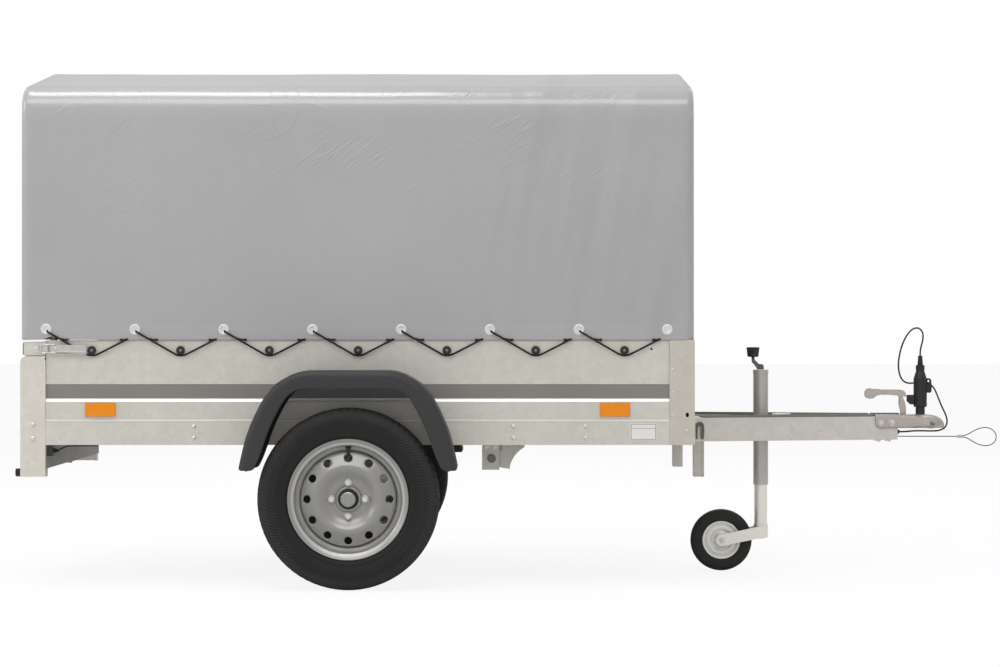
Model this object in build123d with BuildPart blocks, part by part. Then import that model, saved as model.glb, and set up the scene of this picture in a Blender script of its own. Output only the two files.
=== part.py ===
from build123d import *
import math
import os

# Single-axle utility trailer: galvanised box under a pitched tarpaulin, with a V drawbar that
# hinges under the box for tipping, and a jockey wheel on its clamp.
# Millimetres, +X forward, +Z up, Z = 0 on the ground. The origin is under the middle of the
# whole length, so lengthwise places are worked out from the axle's.

os.makedirs("parts", exist_ok=True)

# ---------------------------------------------------------------- driving dimensions
GAP = 0.3                      # clearance between pieces that seat on each other
MOVE_GAP = 6.0                 # clearance between pieces that swing past each other
SHEET = 3.0                    # thickness of the folded steel sheet

BOX_LENGTH = 2060.0
BOX_WIDTH = 1100.0
BOX_BOTTOM = 430.0
BOX_TOP = 750.0
BOX_REAR_TO_AXLE = 1010.0
DRAWBAR_REACH = 850.0          # from the box's front to the coupling's nose
BUFFER_LENGTH = 28.0
BUFFER_DIAMETER = 28.0

FRONT_TO_AXLE = BOX_LENGTH - BOX_REAR_TO_AXLE
NOSE_TO_AXLE = FRONT_TO_AXLE + DRAWBAR_REACH
AXLE_X = (BOX_REAR_TO_AXLE + BUFFER_LENGTH - NOSE_TO_AXLE) / 2
BOX_REAR = AXLE_X - BOX_REAR_TO_AXLE
BOX_FRONT = BOX_REAR + BOX_LENGTH
HALF_WIDTH = BOX_WIDTH / 2
SIDES = (("right", -1), ("left", 1))

# posts and walls
POST_WIDTH = 77.0
POST_DEPTH = 44.0
REAR_POST_FOOT = 97.0          # rear posts reach this far below the box
REAR_POST_DROP = 51.0          # and end this far under its rim
REAR_POST_BOTTOM = BOX_BOTTOM - REAR_POST_FOOT
REAR_POST_TOP = BOX_TOP - REAR_POST_DROP
POST_CORNER_RADIUS = 14.0
FOOT_DEPTH = 110.0             # the rear post's flange is this deep below the box
FOOT_CLEARANCE = 8.0           # between that flange's top and the box
RAIL_HEIGHT = 75.0             # lower zone of the side, the frame rail
RIM_WIDTH = 20.0
RIM_LIP = 15.0
RIDGE_STEP = 4.0
RIDGE_SLOPE = 7.0              # height over which the ridge falls back to the board
RAIL_STEP = 2.5
RIDGE_HEIGHT = 132.0           # height of the ridge over the box's bottom
FRAME_HEIGHT = 90.0            # cross members, from the box's bottom to the floor
MEMBER_FLANGE = 40.0
FLOOR_THICKNESS = 9.0
FLOOR_BOTTOM = BOX_BOTTOM + FRAME_HEIGHT
FLOOR_TOP = FLOOR_BOTTOM + FLOOR_THICKNESS
SILL_SETBACK = 44.0            # rear sill's web, forward of the box's rear
WALL_SETBACK = 1.0             # front wall's face, behind the front posts' faces
FRONT_MEMBER_SETBACK = 6.0

# cover
COVER_THICKNESS = 2.5
RIDGE_Z = 1615.0
ROOF_ANGLE = 9.6
EAVE_RADIUS = 80.0
COVER_BOTTOM = BOX_TOP + 1.0
BOW_RADIUS = 11.0
BOW_WALL = 1.5
BOW_FOOT_DROP = 110.0
BOW_FOOT_Z = BOX_TOP - BOW_FOOT_DROP
BOW_FROM_POST = 20.0
BOW_EAVE_RADIUS = 70.0

# axle, wheels
TYRE_DIAMETER = 547.0
TYRE_WIDTH = 155.0
WHEEL_GAP = 35.0               # from the box's side to the tyre
TRACK = BOX_WIDTH + TYRE_WIDTH + 2 * WHEEL_GAP
TYRE_RADIUS = TYRE_DIAMETER / 2
TYRE_WALL = 11.0
TREAD_HALF = 58.0
TREAD_CROWN = 2.0              # tread's edges, below its middle
SHOULDER_DROP = 12.0           # shoulder, below and outside the tread's edge
BEAD_WIDTH = 9.0
BEAD_TOE = 11.0
TYRE_FIT = GAP + 0.2           # between the tyre's beads and their seats
RIM_FLANGE_RADIUS = 182.5
BEAD_RADIUS = 165.0
WELL_RADIUS = 149.0
RIM_WIDTH_OVERALL = 124.0
RIM_LIP_DEPTH = 5.0
BEAD_SEAT_WIDTH = 24.0         # from the rim's edge to the inner end of a bead seat
WELL_SLOPE = 10.0
WELL_INNER = 58.0              # the well ends this far from the rim's inboard edge
RIM_SHEET = 4.0
DISC_OFFSET = 30.0             # mounting face, outboard of the wheel's middle
DISC_RIDGE_RADIUS = 98.0
DISC_EDGE_RADIUS = 143.0
DISC_HUB_RADIUS = 58.0
DISC_CREST = 19.0              # ridge's crest, outboard of the mounting face
DISC_CREST_INNER = 12.0        # crest's ends, inside and outside the ridge's radius
DISC_CREST_OUTER = 4.0
DISC_DIP = 4.0
DISC_FOOT = 16.0               # disc's edge, inboard of the mounting face
CENTRE_BORE_RADIUS = 28.6
VENT_COUNT = 12
VENT_CIRCLE_RADIUS = 124.0
VENT_RADIUS = 12.5
STUD_COUNT = 4
STUD_CIRCLE_RADIUS = 50.0
STUD_HOLE_RADIUS = 7.0
HUB_FLANGE_RADIUS = 66.0
HUB_FLANGE_THICKNESS = 14.0
HUB_CONE_LENGTH = 16.0
HUB_BODY_RADIUS = 28.0
HUB_BODY_WALL = 8.0
HUB_COLLAR = 10.0              # body's end, outboard of the mounting face
HUB_CAP_RADIUS = 24.0
HUB_CAP_LENGTH = 16.0
HUB_CAP_TAPER = 3.0
SPINDLE_RADIUS = 15.0
ARM_THICKNESS = 30.0
ARM_WIDTH = 58.0
BEAM_SIZE = 60.0
BEAM_WALL = 5.0
BEAM_FORWARD = 98.0            # beam's middle, forward of the wheels' axis
AXLE_PLATE = 6.0
AXLE_PLATE_LENGTH = 140.0
AXLE_PLATE_INSET = 105.0       # plates end this far inboard of the arms
BEAM_Z = BOX_BOTTOM - GAP - AXLE_PLATE - BEAM_SIZE / 2

# fenders: an outline point is (forward of the axle, below the fender's top); the inset columns
# are the parts of a skirt's depth by which the point moves in along each direction
FENDER_OVERHANG = 10.0         # fender's face, outside the tyre
FENDER_DEPTH = WHEEL_GAP + TYRE_WIDTH + FENDER_OVERHANG
FENDER_SHEET = 4.0
FENDER_CLEARANCE = 112.0       # fender's top over the tyre
FENDER_TOP = TYRE_DIAMETER + FENDER_CLEARANCE
FENDER_DROP = 299.0
FENDER_BOTTOM = FENDER_TOP - FENDER_DROP
FENDER_FLAT = 131.0
FENDER_REACH = 328.0
FENDER_SKIRT = 54.0
FENDER_BEND = (212.0, 37.0, 0.62, 0.78)
FENDER_HAUNCH = (257.0, 91.0, 0.90, 0.35)
FENDER_CHEEK = (301.0, 187.0, 0.97, 0.10)

# drawbar
DRAWBAR_DROP = 3.0             # arms' underside, below the box's
DRAWBAR_BOTTOM = BOX_BOTTOM - DRAWBAR_DROP
DRAWBAR_HEIGHT = 75.0
ARM_FLANGE = 32.0
ARM_SHEET = 4.0
PIVOT_FORWARD = 429.0
PIVOT_DROP = 50.0
PIVOT_Z = BOX_BOTTOM - PIVOT_DROP
PIVOT_SPREAD = 352.0           # outer face of an arm, off the middle, at the pivot
ARM_REAR_FORWARD = 462.0
COUPLING_OVERLAP = 157.0       # arms end this far behind the nose
ARM_END_FORWARD = NOSE_TO_AXLE - COUPLING_OVERLAP
ARM_END_SPREAD = 40.0
PIN_RADIUS = 13.0
EAR_INSET = 8.0                # ear's outer face, inside the arm's line at the pivot
EAR_THICKNESS = 8.0
EAR_HALF_HEIGHT = 24.0
PLATE_THICKNESS = 5.0
CLEVIS_GAP = 12.0              # from an ear's face to the bracket plate beside it
BRACKET_REAR_FORWARD = PIVOT_FORWARD - 30.0
BRACKET_FRONT_FORWARD = PIVOT_FORWARD + 24.0
BRACKET_HEIGHT = 85.0
BRACKET_BOTTOM = BOX_BOTTOM - BRACKET_HEIGHT
GUSSET_LENGTH = 103.0          # gusset's front corner, from the pivot
GUSSET_FOOT_LENGTH = 56.0      # its foot's corner, from the pivot
GUSSET_FRONT_FORWARD = PIVOT_FORWARD + GUSSET_LENGTH
GUSSET_FOOT_FORWARD = PIVOT_FORWARD + GUSSET_FOOT_LENGTH
GUSSET_DROP = 12.0             # gusset's front corner, below the arm
GUSSET_RISE = 40.0             # gusset's top, above the arm's underside
GUSSET_FOOT_DROP = 9.0
GUSSET_CURVE = 90.0            # radius of the gusset's lower front edge
NOTCH_SIDE_GAP = 8.0
END_PLATE_THICKNESS = 6.0
END_PLATE_FORWARD = ARM_END_FORWARD - 1.0
LOCK_WIDTH = 70.0
LOCK_SETBACK = 18.0            # middle of the box's lock bracket, behind its front
LOCK_BRACKET_FORWARD = FRONT_TO_AXLE - LOCK_SETBACK
LOCK_BRACKET_LENGTH = 30.0
LOCK_BRACKET_HEIGHT = 91.0
LOCK_BRACKET_BOTTOM = BOX_BOTTOM - LOCK_BRACKET_HEIGHT
LOCK_PLATE_AHEAD = 34.0        # drawbar's lock plate, ahead of the box's front
LOCK_PLATE_FORWARD = FRONT_TO_AXLE + LOCK_PLATE_AHEAD
LOCK_PLATE_THICKNESS = 24.0
LOCK_PLATE_HEIGHT = 118.0
LOCK_PLATE_BOTTOM = BOX_BOTTOM - LOCK_PLATE_HEIGHT

# jockey wheel
JOCKEY_BEHIND = 597.0          # jockey's tube, behind the nose
JOCKEY_FORWARD = NOSE_TO_AXLE - JOCKEY_BEHIND
JOCKEY_PLATE_AHEAD = 34.0      # cross plate, ahead of the tube
JOCKEY_TUBE_RADIUS = 24.0
INNER_TUBE_RADIUS = 21.0
JOCKEY_BORE_RADIUS = INNER_TUBE_RADIUS + GAP
JOCKEY_TUBE_BELOW = 147.0      # tube's lower end, below the drawbar
JOCKEY_TUBE_LENGTH = 360.0
JOCKEY_TUBE_BOTTOM = DRAWBAR_BOTTOM - JOCKEY_TUBE_BELOW
JOCKEY_TUBE_TOP = JOCKEY_TUBE_BOTTOM + JOCKEY_TUBE_LENGTH
JOCKEY_CAP_HEIGHT = 13.0
INNER_TUBE_LENGTH = 300.0
CLAMP_WALL = 7.0
CLAMP_HEIGHT = 50.0
CLAMP_WIDTH = 40.0
SPINDLE_CAP_RADIUS = 9.0
SPINDLE_CAP_HEIGHT = 12.0
CRANK_WIDTH = 14.0
CRANK_DEPTH = 18.0
CRANK_RISE = 24.0
CRANK_REACH = 25.0             # grip's middle, behind the tube's
GRIP_RADIUS = 18.0
GRIP_HEIGHT = 37.0
JOCKEY_WHEEL_RADIUS = 100.0
JOCKEY_RIM_RADIUS = 61.5
JOCKEY_WHEEL_WIDTH = 52.0
JOCKEY_TRAIL = 129.0
JOCKEY_AXLE_RADIUS = 8.0
FORK_SHEET = 4.0
FORK_HEIGHT = 37.0
CROWN_RADIUS = 23.5
CROWN_BOTTOM = 108.0
CROWN_TOP = 150.0
SPIGOT_RADIUS = 12.0
SPIGOT_WALL = 4.0
SPIGOT_BELOW = 4.0
CHEEK_GAP = 6.0                # from the jockey wheel's side to a cheek

# coupling
COUPLING_LENGTH = 230.0
NECK_BEHIND = 64.0             # where the rounded nose begins, behind its tip
BALL_BEHIND = 48.0
COUPLING_REAR_FORWARD = NOSE_TO_AXLE - COUPLING_LENGTH
COUPLING_NECK_FORWARD = NOSE_TO_AXLE - NECK_BEHIND
BALL_FORWARD = NOSE_TO_AXLE - BALL_BEHIND
COUPLING_HEIGHT = 44.0
COUPLING_ABOVE = 6.0           # head's top, above the arms'
COUPLING_TOP = DRAWBAR_BOTTOM + DRAWBAR_HEIGHT + COUPLING_ABOVE
COUPLING_BOTTOM = COUPLING_TOP - COUPLING_HEIGHT
COUPLING_SHEET = 5.0
BALL_BORE_RADIUS = 25.4
SOCKET_OUTER_RADIUS = 31.0
SOCKET_DEPTH = 34.0
NECK_HALF = 34.0


def at(forward):
    """Row X of a place measured forward of the wheels' axis."""
    return AXLE_X + forward


def arm_spread(forward):
    """Distance of an arm's outer face from the middle plane."""
    run = ARM_END_FORWARD - PIVOT_FORWARD
    return PIVOT_SPREAD + (ARM_END_SPREAD - PIVOT_SPREAD) * (forward - PIVOT_FORWARD) / run


ARM_ANGLE = math.degrees(math.atan((PIVOT_SPREAD - ARM_END_SPREAD) / (ARM_END_FORWARD - PIVOT_FORWARD)))


def finish(part, label):
    part.label = label
    export_step(part, f"parts/{label}.step")


# ---------------------------------------------------------------- box: walls, posts, floor
WALL_Y = HALF_WIDTH - 0.5
REAR_POST_FRONT = BOX_REAR + POST_WIDTH
FRONT_POST_REAR = BOX_FRONT - POST_WIDTH

# a side: frame rail, ridge, board and folded rim, one folded sheet; columns: outward, up
RAIL_Z = BOX_BOTTOM + RAIL_HEIGHT
RIDGE_FOOT_Z = BOX_BOTTOM + RIDGE_HEIGHT
BOARD_Y = WALL_Y - RAIL_STEP - RIDGE_STEP
SIDE_OUTLINE = [
    (HALF_WIDTH - POST_DEPTH, BOX_BOTTOM),
    (WALL_Y, BOX_BOTTOM),
    (WALL_Y, RAIL_Z),
    (WALL_Y - RAIL_STEP, RAIL_Z + RAIL_STEP),
    (WALL_Y - RAIL_STEP, RIDGE_FOOT_Z),
    (BOARD_Y, RIDGE_FOOT_Z + RIDGE_SLOPE),
    (BOARD_Y, BOX_TOP),
    (BOARD_Y - RIM_WIDTH, BOX_TOP),
    (BOARD_Y - RIM_WIDTH, BOX_TOP - RIM_LIP),
]
RIM_INNER_Y = BOARD_Y - RIM_WIDTH

for side, sign in SIDES:
    with BuildPart() as side_panel:
        with BuildSketch(Plane.YZ.offset(REAR_POST_FRONT + GAP)):
            with BuildLine():
                Polyline([(sign * y, z) for y, z in SIDE_OUTLINE])
                offset(amount=SHEET, side=Side.LEFT if sign > 0 else Side.RIGHT, kind=Kind.INTERSECTION)
            make_face()
        extrude(amount=FRONT_POST_REAR - REAR_POST_FRONT - 2 * GAP)
    finish(side_panel.part, f"side_panel_{side}")

# rear posts: channels open inwards, with a deeper rear flange below the box
with BuildPart() as rear_posts:
    for side, sign in SIDES:
        with BuildSketch(Plane.XZ.offset(-HALF_WIDTH if sign > 0 else HALF_WIDTH - SHEET)):
            with BuildLine():
                FilletPolyline([
                    (BOX_REAR, REAR_POST_BOTTOM), (BOX_REAR, REAR_POST_TOP), (REAR_POST_FRONT, REAR_POST_TOP),
                    (REAR_POST_FRONT, REAR_POST_BOTTOM),
                ], radius=POST_CORNER_RADIUS)
                Line((REAR_POST_FRONT, REAR_POST_BOTTOM), (BOX_REAR, REAR_POST_BOTTOM))
            make_face()
        extrude(amount=SHEET)
        flange_top = REAR_POST_TOP - POST_CORNER_RADIUS
        for flange_x in (BOX_REAR + SHEET / 2, REAR_POST_FRONT - SHEET / 2):
            flange_y = sign * (HALF_WIDTH - POST_DEPTH / 2)
            with Locations((flange_x, flange_y, (REAR_POST_BOTTOM + flange_top) / 2)):
                Box(SHEET, POST_DEPTH, flange_top - REAR_POST_BOTTOM)
        foot_top = BOX_BOTTOM - FOOT_CLEARANCE
        foot_y = sign * (HALF_WIDTH - FOOT_DEPTH / 2)
        with Locations((BOX_REAR + SHEET / 2, foot_y, (REAR_POST_BOTTOM + foot_top) / 2)):
            Box(SHEET, FOOT_DEPTH, foot_top - REAR_POST_BOTTOM)
finish(rear_posts.part, "rear_posts")

# front posts: the same channel, as high as the box
with BuildPart() as front_posts:
    for side, sign in SIDES:
        post_y = sign * (HALF_WIDTH - SHEET / 2)
        with Locations((BOX_FRONT - POST_WIDTH / 2, post_y, (BOX_BOTTOM + BOX_TOP) / 2)):
            Box(POST_WIDTH, SHEET, BOX_TOP - BOX_BOTTOM)
        for flange_x in (BOX_FRONT - SHEET / 2, FRONT_POST_REAR + SHEET / 2):
            with Locations((flange_x, sign * (HALF_WIDTH - POST_DEPTH / 2), (BOX_BOTTOM + BOX_TOP) / 2)):
                Box(SHEET, POST_DEPTH, BOX_TOP - BOX_BOTTOM)
finish(front_posts.part, "front_posts")

INNER_HALF = HALF_WIDTH - POST_DEPTH - GAP     # half the clear width between the posts
FRONT_WALL_X = BOX_FRONT - WALL_SETBACK

# front wall: board with a folded rim, between the front posts
with BuildPart() as front_wall:
    with BuildSketch(Plane.XZ.offset(-INNER_HALF)):
        with BuildLine():
            Polyline([
                (FRONT_WALL_X, FLOOR_TOP + GAP),
                (FRONT_WALL_X, BOX_TOP),
                (FRONT_WALL_X - RIM_WIDTH, BOX_TOP),
                (FRONT_WALL_X - RIM_WIDTH, BOX_TOP - RIM_LIP),
            ])
            offset(amount=SHEET, side=Side.LEFT, kind=Kind.INTERSECTION)
        make_face()
    extrude(amount=2 * INNER_HALF)
finish(front_wall.part, "front_wall")

# floor: a sheet on the cross members, cut round the four posts
FLOOR_HALF = BOARD_Y - SHEET - 2 * GAP
FLOOR_REAR = BOX_REAR + SILL_SETBACK
FLOOR_FRONT = FRONT_WALL_X - SHEET
with BuildPart() as floor:
    with BuildSketch(Plane.XY.offset(FLOOR_BOTTOM)):
        with Locations(((FLOOR_REAR + FLOOR_FRONT) / 2, 0)):
            Rectangle(FLOOR_FRONT - FLOOR_REAR, 2 * FLOOR_HALF)
        for corner_x in (BOX_REAR, BOX_FRONT):
            for side, sign in SIDES:
                with Locations((corner_x, sign * HALF_WIDTH)):
                    Rectangle(2 * (POST_WIDTH + GAP), 2 * (POST_DEPTH + GAP), mode=Mode.SUBTRACT)
    extrude(amount=FLOOR_THICKNESS)
finish(floor.part, "floor")

# cross members: channels from rail to rail; columns: web forward of the axle, flange direction,
# whether the drawbar's arms pass through notches in it
MEMBERS = [
    (SILL_SETBACK - BOX_REAR_TO_AXLE, 1, False),
    (-500.0, 1, False),
    (-60.0, 1, False),
    (BRACKET_FRONT_FORWARD - 1.0, -1, False),
    (717.0, 1, True),
    (FRONT_TO_AXLE - FRONT_MEMBER_SETBACK, -1, True),
]
NOTCH_WIDTH = ARM_FLANGE + MEMBER_FLANGE * math.tan(math.radians(ARM_ANGLE)) + 2 * NOTCH_SIDE_GAP
with BuildPart() as cross_members:
    for forward, way, notched in MEMBERS:
        with BuildSketch(Plane.XZ.offset(-INNER_HALF)):
            with BuildLine():
                Polyline([
                    (at(forward + way * MEMBER_FLANGE), BOX_BOTTOM),
                    (at(forward), BOX_BOTTOM),
                    (at(forward), FLOOR_BOTTOM),
                    (at(forward + way * MEMBER_FLANGE), FLOOR_BOTTOM),
                ])
                offset(amount=SHEET, side=Side.RIGHT if way > 0 else Side.LEFT, kind=Kind.INTERSECTION)
            make_face()
        extrude(amount=2 * INNER_HALF)
        if notched:
            middle = forward + way * MEMBER_FLANGE / 2
            notch_y = arm_spread(middle) - ARM_FLANGE / 2
            notch_height = DRAWBAR_BOTTOM + DRAWBAR_HEIGHT + MOVE_GAP - BOX_BOTTOM
            for side, sign in SIDES:
                with Locations((at(middle), sign * notch_y, BOX_BOTTOM + notch_height / 2)):
                    Box(MEMBER_FLANGE + 2.0, NOTCH_WIDTH, notch_height, mode=Mode.SUBTRACT)
finish(cross_members.part, "cross_members")

# ---------------------------------------------------------------- tarpaulin and its bows
EAVE_Z = RIDGE_Z - HALF_WIDTH * math.tan(math.radians(ROOF_ANGLE))
with BuildPart() as cover:
    with BuildSketch(Plane.YZ.offset(BOX_REAR)) as cover_section:
        with BuildLine():
            Polyline([
                (-HALF_WIDTH, COVER_BOTTOM), (-HALF_WIDTH, EAVE_Z), (0, RIDGE_Z),
                (HALF_WIDTH, EAVE_Z), (HALF_WIDTH, COVER_BOTTOM), (-HALF_WIDTH, COVER_BOTTOM),
            ])
        make_face()
        fillet(cover_section.vertices().group_by(Axis.Y)[1], EAVE_RADIUS)
    extrude(amount=BOX_LENGTH)
    open_face = cover.faces().sort_by(Axis.Z)[0]
    offset(amount=-COVER_THICKNESS, openings=open_face, kind=Kind.INTERSECTION)
finish(cover.part, "cover")

# bows: tube hoops inside the side walls; columns: middle of the tube forward of the box's rear
BOW_Y = RIM_INNER_Y - GAP - BOW_RADIUS
BOW_DROP = (COVER_THICKNESS + GAP + BOW_RADIUS) / math.cos(math.radians(ROOF_ANGLE))
BOW_RIDGE_Z = RIDGE_Z - BOW_DROP
BOW_EAVE_Z = BOW_RIDGE_Z - BOW_Y * math.tan(math.radians(ROOF_ANGLE))
END_BOW_PLACE = POST_WIDTH + BOW_FROM_POST
BOW_PLACES = [END_BOW_PLACE, BOX_LENGTH / 2, BOX_LENGTH - END_BOW_PLACE]
with BuildPart() as bows:
    for place in BOW_PLACES:
        with BuildLine(Plane.YZ.offset(BOX_REAR + place)) as bow_path:
            FilletPolyline(
                [(-BOW_Y, BOW_FOOT_Z), (-BOW_Y, BOW_EAVE_Z), (0, BOW_RIDGE_Z), (BOW_Y, BOW_EAVE_Z),
                 (BOW_Y, BOW_FOOT_Z)],
                radius=[BOW_EAVE_RADIUS, BOW_EAVE_RADIUS, BOW_EAVE_RADIUS],
            )
        with BuildSketch(Plane(origin=(BOX_REAR + place, -BOW_Y, BOW_FOOT_Z), z_dir=(0, 0, 1))):
            Circle(BOW_RADIUS)
            Circle(BOW_RADIUS - BOW_WALL, mode=Mode.SUBTRACT)
        sweep(path=bow_path.wire())
finish(bows.part, "cover_bows")

# ---------------------------------------------------------------- rear end
HINGE_PLATE_DROP = SHEET + GAP
# light board below the box, behind which the lamps hang between the posts
BOARD_DROP = 72.0
BOARD_END_GAP = 2.0
BOARD_SHELF = 46.0
BOARD_BOTTOM = BOX_BOTTOM - BOARD_DROP
BOARD_X = REAR_POST_FRONT + GAP
with BuildPart() as light_board:
    with Locations((BOARD_X + SHEET / 2, 0, (BOARD_BOTTOM + BOX_BOTTOM - GAP) / 2)):
        Box(SHEET, BOX_WIDTH - 2 * BOARD_END_GAP, BOX_BOTTOM - GAP - BOARD_BOTTOM)
    with Locations((BOARD_X + SHEET - BOARD_SHELF / 2, 0, BOARD_BOTTOM + SHEET / 2)):
        Box(BOARD_SHELF, 2 * (HALF_WIDTH - FOOT_DEPTH - BOARD_END_GAP), SHEET)
finish(light_board.part, "light_board")

LAMP_LENGTH = 230.0
LAMP_HEIGHT = 58.0
LAMP_DEPTH = 48.0
LAMP_SIDE_GAP = 12.0
LAMP_CORNER_RADIUS = 8.0
LAMP_MIDDLE_Y = HALF_WIDTH - FOOT_DEPTH - LAMP_LENGTH / 2 - LAMP_SIDE_GAP
LAMP_MIDDLE_Z = (BOARD_BOTTOM + SHEET + BOX_BOTTOM - HINGE_PLATE_DROP) / 2
with BuildPart() as tail_lamps:
    for side, sign in SIDES:
        with Locations((BOARD_X - GAP - LAMP_DEPTH / 2, sign * LAMP_MIDDLE_Y, LAMP_MIDDLE_Z)):
            Box(LAMP_DEPTH, LAMP_LENGTH, LAMP_HEIGHT)
    fillet(tail_lamps.faces().sort_by(Axis.X)[:2].edges(), LAMP_CORNER_RADIUS)
finish(tail_lamps.part, "tail_lamps")

CONNECTOR_LENGTH = 32.0
CONNECTOR_DEPTH = 18.0
CONNECTOR_WIDTH = 40.0
CONNECTOR_INSET = 22.0
CONNECTOR_TOP = BOX_BOTTOM - 2.0
with BuildPart() as lamp_connectors:
    for side, sign in SIDES:
        with Locations((BOARD_X + SHEET + GAP + CONNECTOR_DEPTH / 2, sign * (HALF_WIDTH - CONNECTOR_INSET),
                        CONNECTOR_TOP - CONNECTOR_LENGTH / 2)):
            Box(CONNECTOR_DEPTH, CONNECTOR_WIDTH, CONNECTOR_LENGTH)
finish(lamp_connectors.part, "lamp_connectors")

BUFFER_Z = REAR_POST_BOTTOM + 9.0
BUFFER_INSET = 24.0
BUFFER_Y = HALF_WIDTH - FOOT_DEPTH + BUFFER_INSET
with BuildPart() as buffers:
    for side, sign in SIDES:
        with BuildSketch(Plane.YZ.offset(BOX_REAR - GAP)):
            with Locations((sign * BUFFER_Y, BUFFER_Z)):
                Circle(BUFFER_DIAMETER / 2)
        extrude(amount=GAP - BUFFER_LENGTH, taper=4)
finish(buffers.part, "buffers")

# tailgate: folded panel between the posts, widening above them into lugs along the sides
TAILGATE_SETBACK = 8.0
TAILGATE_DEPTH = 28.0
TAILGATE_RETURN = 18.0
TAILGATE_X = BOX_REAR + TAILGATE_SETBACK
TAILGATE_BOTTOM = BOX_BOTTOM + 20.0
TAILGATE_TOP = BOX_TOP - 5.0
TAILGATE_HALF = HALF_WIDTH - POST_DEPTH - MOVE_GAP
LUG_BOTTOM = REAR_POST_TOP + MOVE_GAP
LUG_LENGTH = 76.0
LUG_FRONT = TAILGATE_X + LUG_LENGTH
LUG_CORNER_RADIUS = 14.0
HINGE_X = BOX_REAR - 11.0
HINGE_Z = BOX_BOTTOM + 7.0
KNUCKLE_RADIUS = 8.0
KNUCKLE_GAP = 1.0
HINGE_PIN_RADIUS = 4.0
HINGE_EAR_WIDTH = 20.0
HINGE_SPREAD = 380.0
HINGE_PLACES = [-HINGE_SPREAD, 0.0, HINGE_SPREAD]
KNUCKLE_PITCH = HINGE_EAR_WIDTH + KNUCKLE_GAP
with BuildPart() as tailgate:
    with BuildSketch(Plane.XZ.offset(-TAILGATE_HALF)):
        with BuildLine():
            Polyline([
                (TAILGATE_X + TAILGATE_DEPTH, TAILGATE_BOTTOM + TAILGATE_RETURN),
                (TAILGATE_X + TAILGATE_DEPTH, TAILGATE_BOTTOM),
                (TAILGATE_X, TAILGATE_BOTTOM),
                (TAILGATE_X, TAILGATE_TOP),
                (TAILGATE_X + TAILGATE_DEPTH, TAILGATE_TOP),
                (TAILGATE_X + TAILGATE_DEPTH, TAILGATE_TOP - TAILGATE_RETURN),
            ])
            offset(amount=SHEET, side=Side.RIGHT, kind=Kind.INTERSECTION)
        make_face()
    extrude(amount=2 * TAILGATE_HALF)
    with Locations((TAILGATE_X + SHEET / 2, 0, (LUG_BOTTOM + TAILGATE_TOP) / 2)):
        Box(SHEET, BOX_WIDTH + 2 * SHEET, TAILGATE_TOP - LUG_BOTTOM)
    for side, sign in SIDES:
        with BuildSketch(Plane.XZ.offset(-HALF_WIDTH - SHEET if sign > 0 else HALF_WIDTH)):
            with BuildLine():
                FilletPolyline([
                    (TAILGATE_X, LUG_BOTTOM), (LUG_FRONT, LUG_BOTTOM), (LUG_FRONT, TAILGATE_TOP),
                    (TAILGATE_X, TAILGATE_TOP),
                ], radius=LUG_CORNER_RADIUS)
                Line((TAILGATE_X, TAILGATE_TOP), (TAILGATE_X, LUG_BOTTOM))
            make_face()
        extrude(amount=SHEET)
    for place in HINGE_PLACES:
        for way in (-1, 1):
            with BuildSketch(Plane.XZ.offset(-(place + way * KNUCKLE_PITCH) - HINGE_EAR_WIDTH / 2)):
                with Locations((HINGE_X, HINGE_Z)):
                    Circle(KNUCKLE_RADIUS)
                with BuildLine():
                    Polyline([
                        (HINGE_X, HINGE_Z + KNUCKLE_RADIUS),
                        (TAILGATE_X + 1.0, TAILGATE_BOTTOM + 2 * KNUCKLE_RADIUS),
                        (TAILGATE_X + 1.0, TAILGATE_BOTTOM + 1.0), (HINGE_X, HINGE_Z),
                        (HINGE_X, HINGE_Z + KNUCKLE_RADIUS),
                    ])
                make_face()
            extrude(amount=HINGE_EAR_WIDTH)
    with BuildSketch(Plane.XZ.offset(-HALF_WIDTH)):
        with Locations((HINGE_X, HINGE_Z)):
            Circle(HINGE_PIN_RADIUS + GAP)
    extrude(amount=BOX_WIDTH, mode=Mode.SUBTRACT)
finish(tailgate.part, "tailgate")

# hinge ears under the tailgate, with their pins, fixed to the rear sill
EAR_PLATE_Z = BOX_BOTTOM - HINGE_PLATE_DROP
with BuildPart() as tailgate_hinges:
    for place in HINGE_PLACES:
        with Locations(((BOARD_X - GAP + HINGE_X) / 2, place, EAR_PLATE_Z + SHEET / 2)):
            Box(BOARD_X - GAP - HINGE_X, HINGE_EAR_WIDTH, SHEET)
        with BuildSketch(Plane.XZ.offset(-place - HINGE_EAR_WIDTH / 2)):
            with Locations((HINGE_X, HINGE_Z)):
                Circle(KNUCKLE_RADIUS)
            with Locations((HINGE_X, (EAR_PLATE_Z + HINGE_Z) / 2)):
                Rectangle(2 * KNUCKLE_RADIUS, HINGE_Z - EAR_PLATE_Z)
        extrude(amount=HINGE_EAR_WIDTH)
        with BuildSketch(Plane.XZ.offset(-place - 1.6 * HINGE_EAR_WIDTH)):
            with Locations((HINGE_X, HINGE_Z)):
                Circle(HINGE_PIN_RADIUS)
        extrude(amount=3.2 * HINGE_EAR_WIDTH)
finish(tailgate_hinges.part, "tailgate_hinges")

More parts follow.
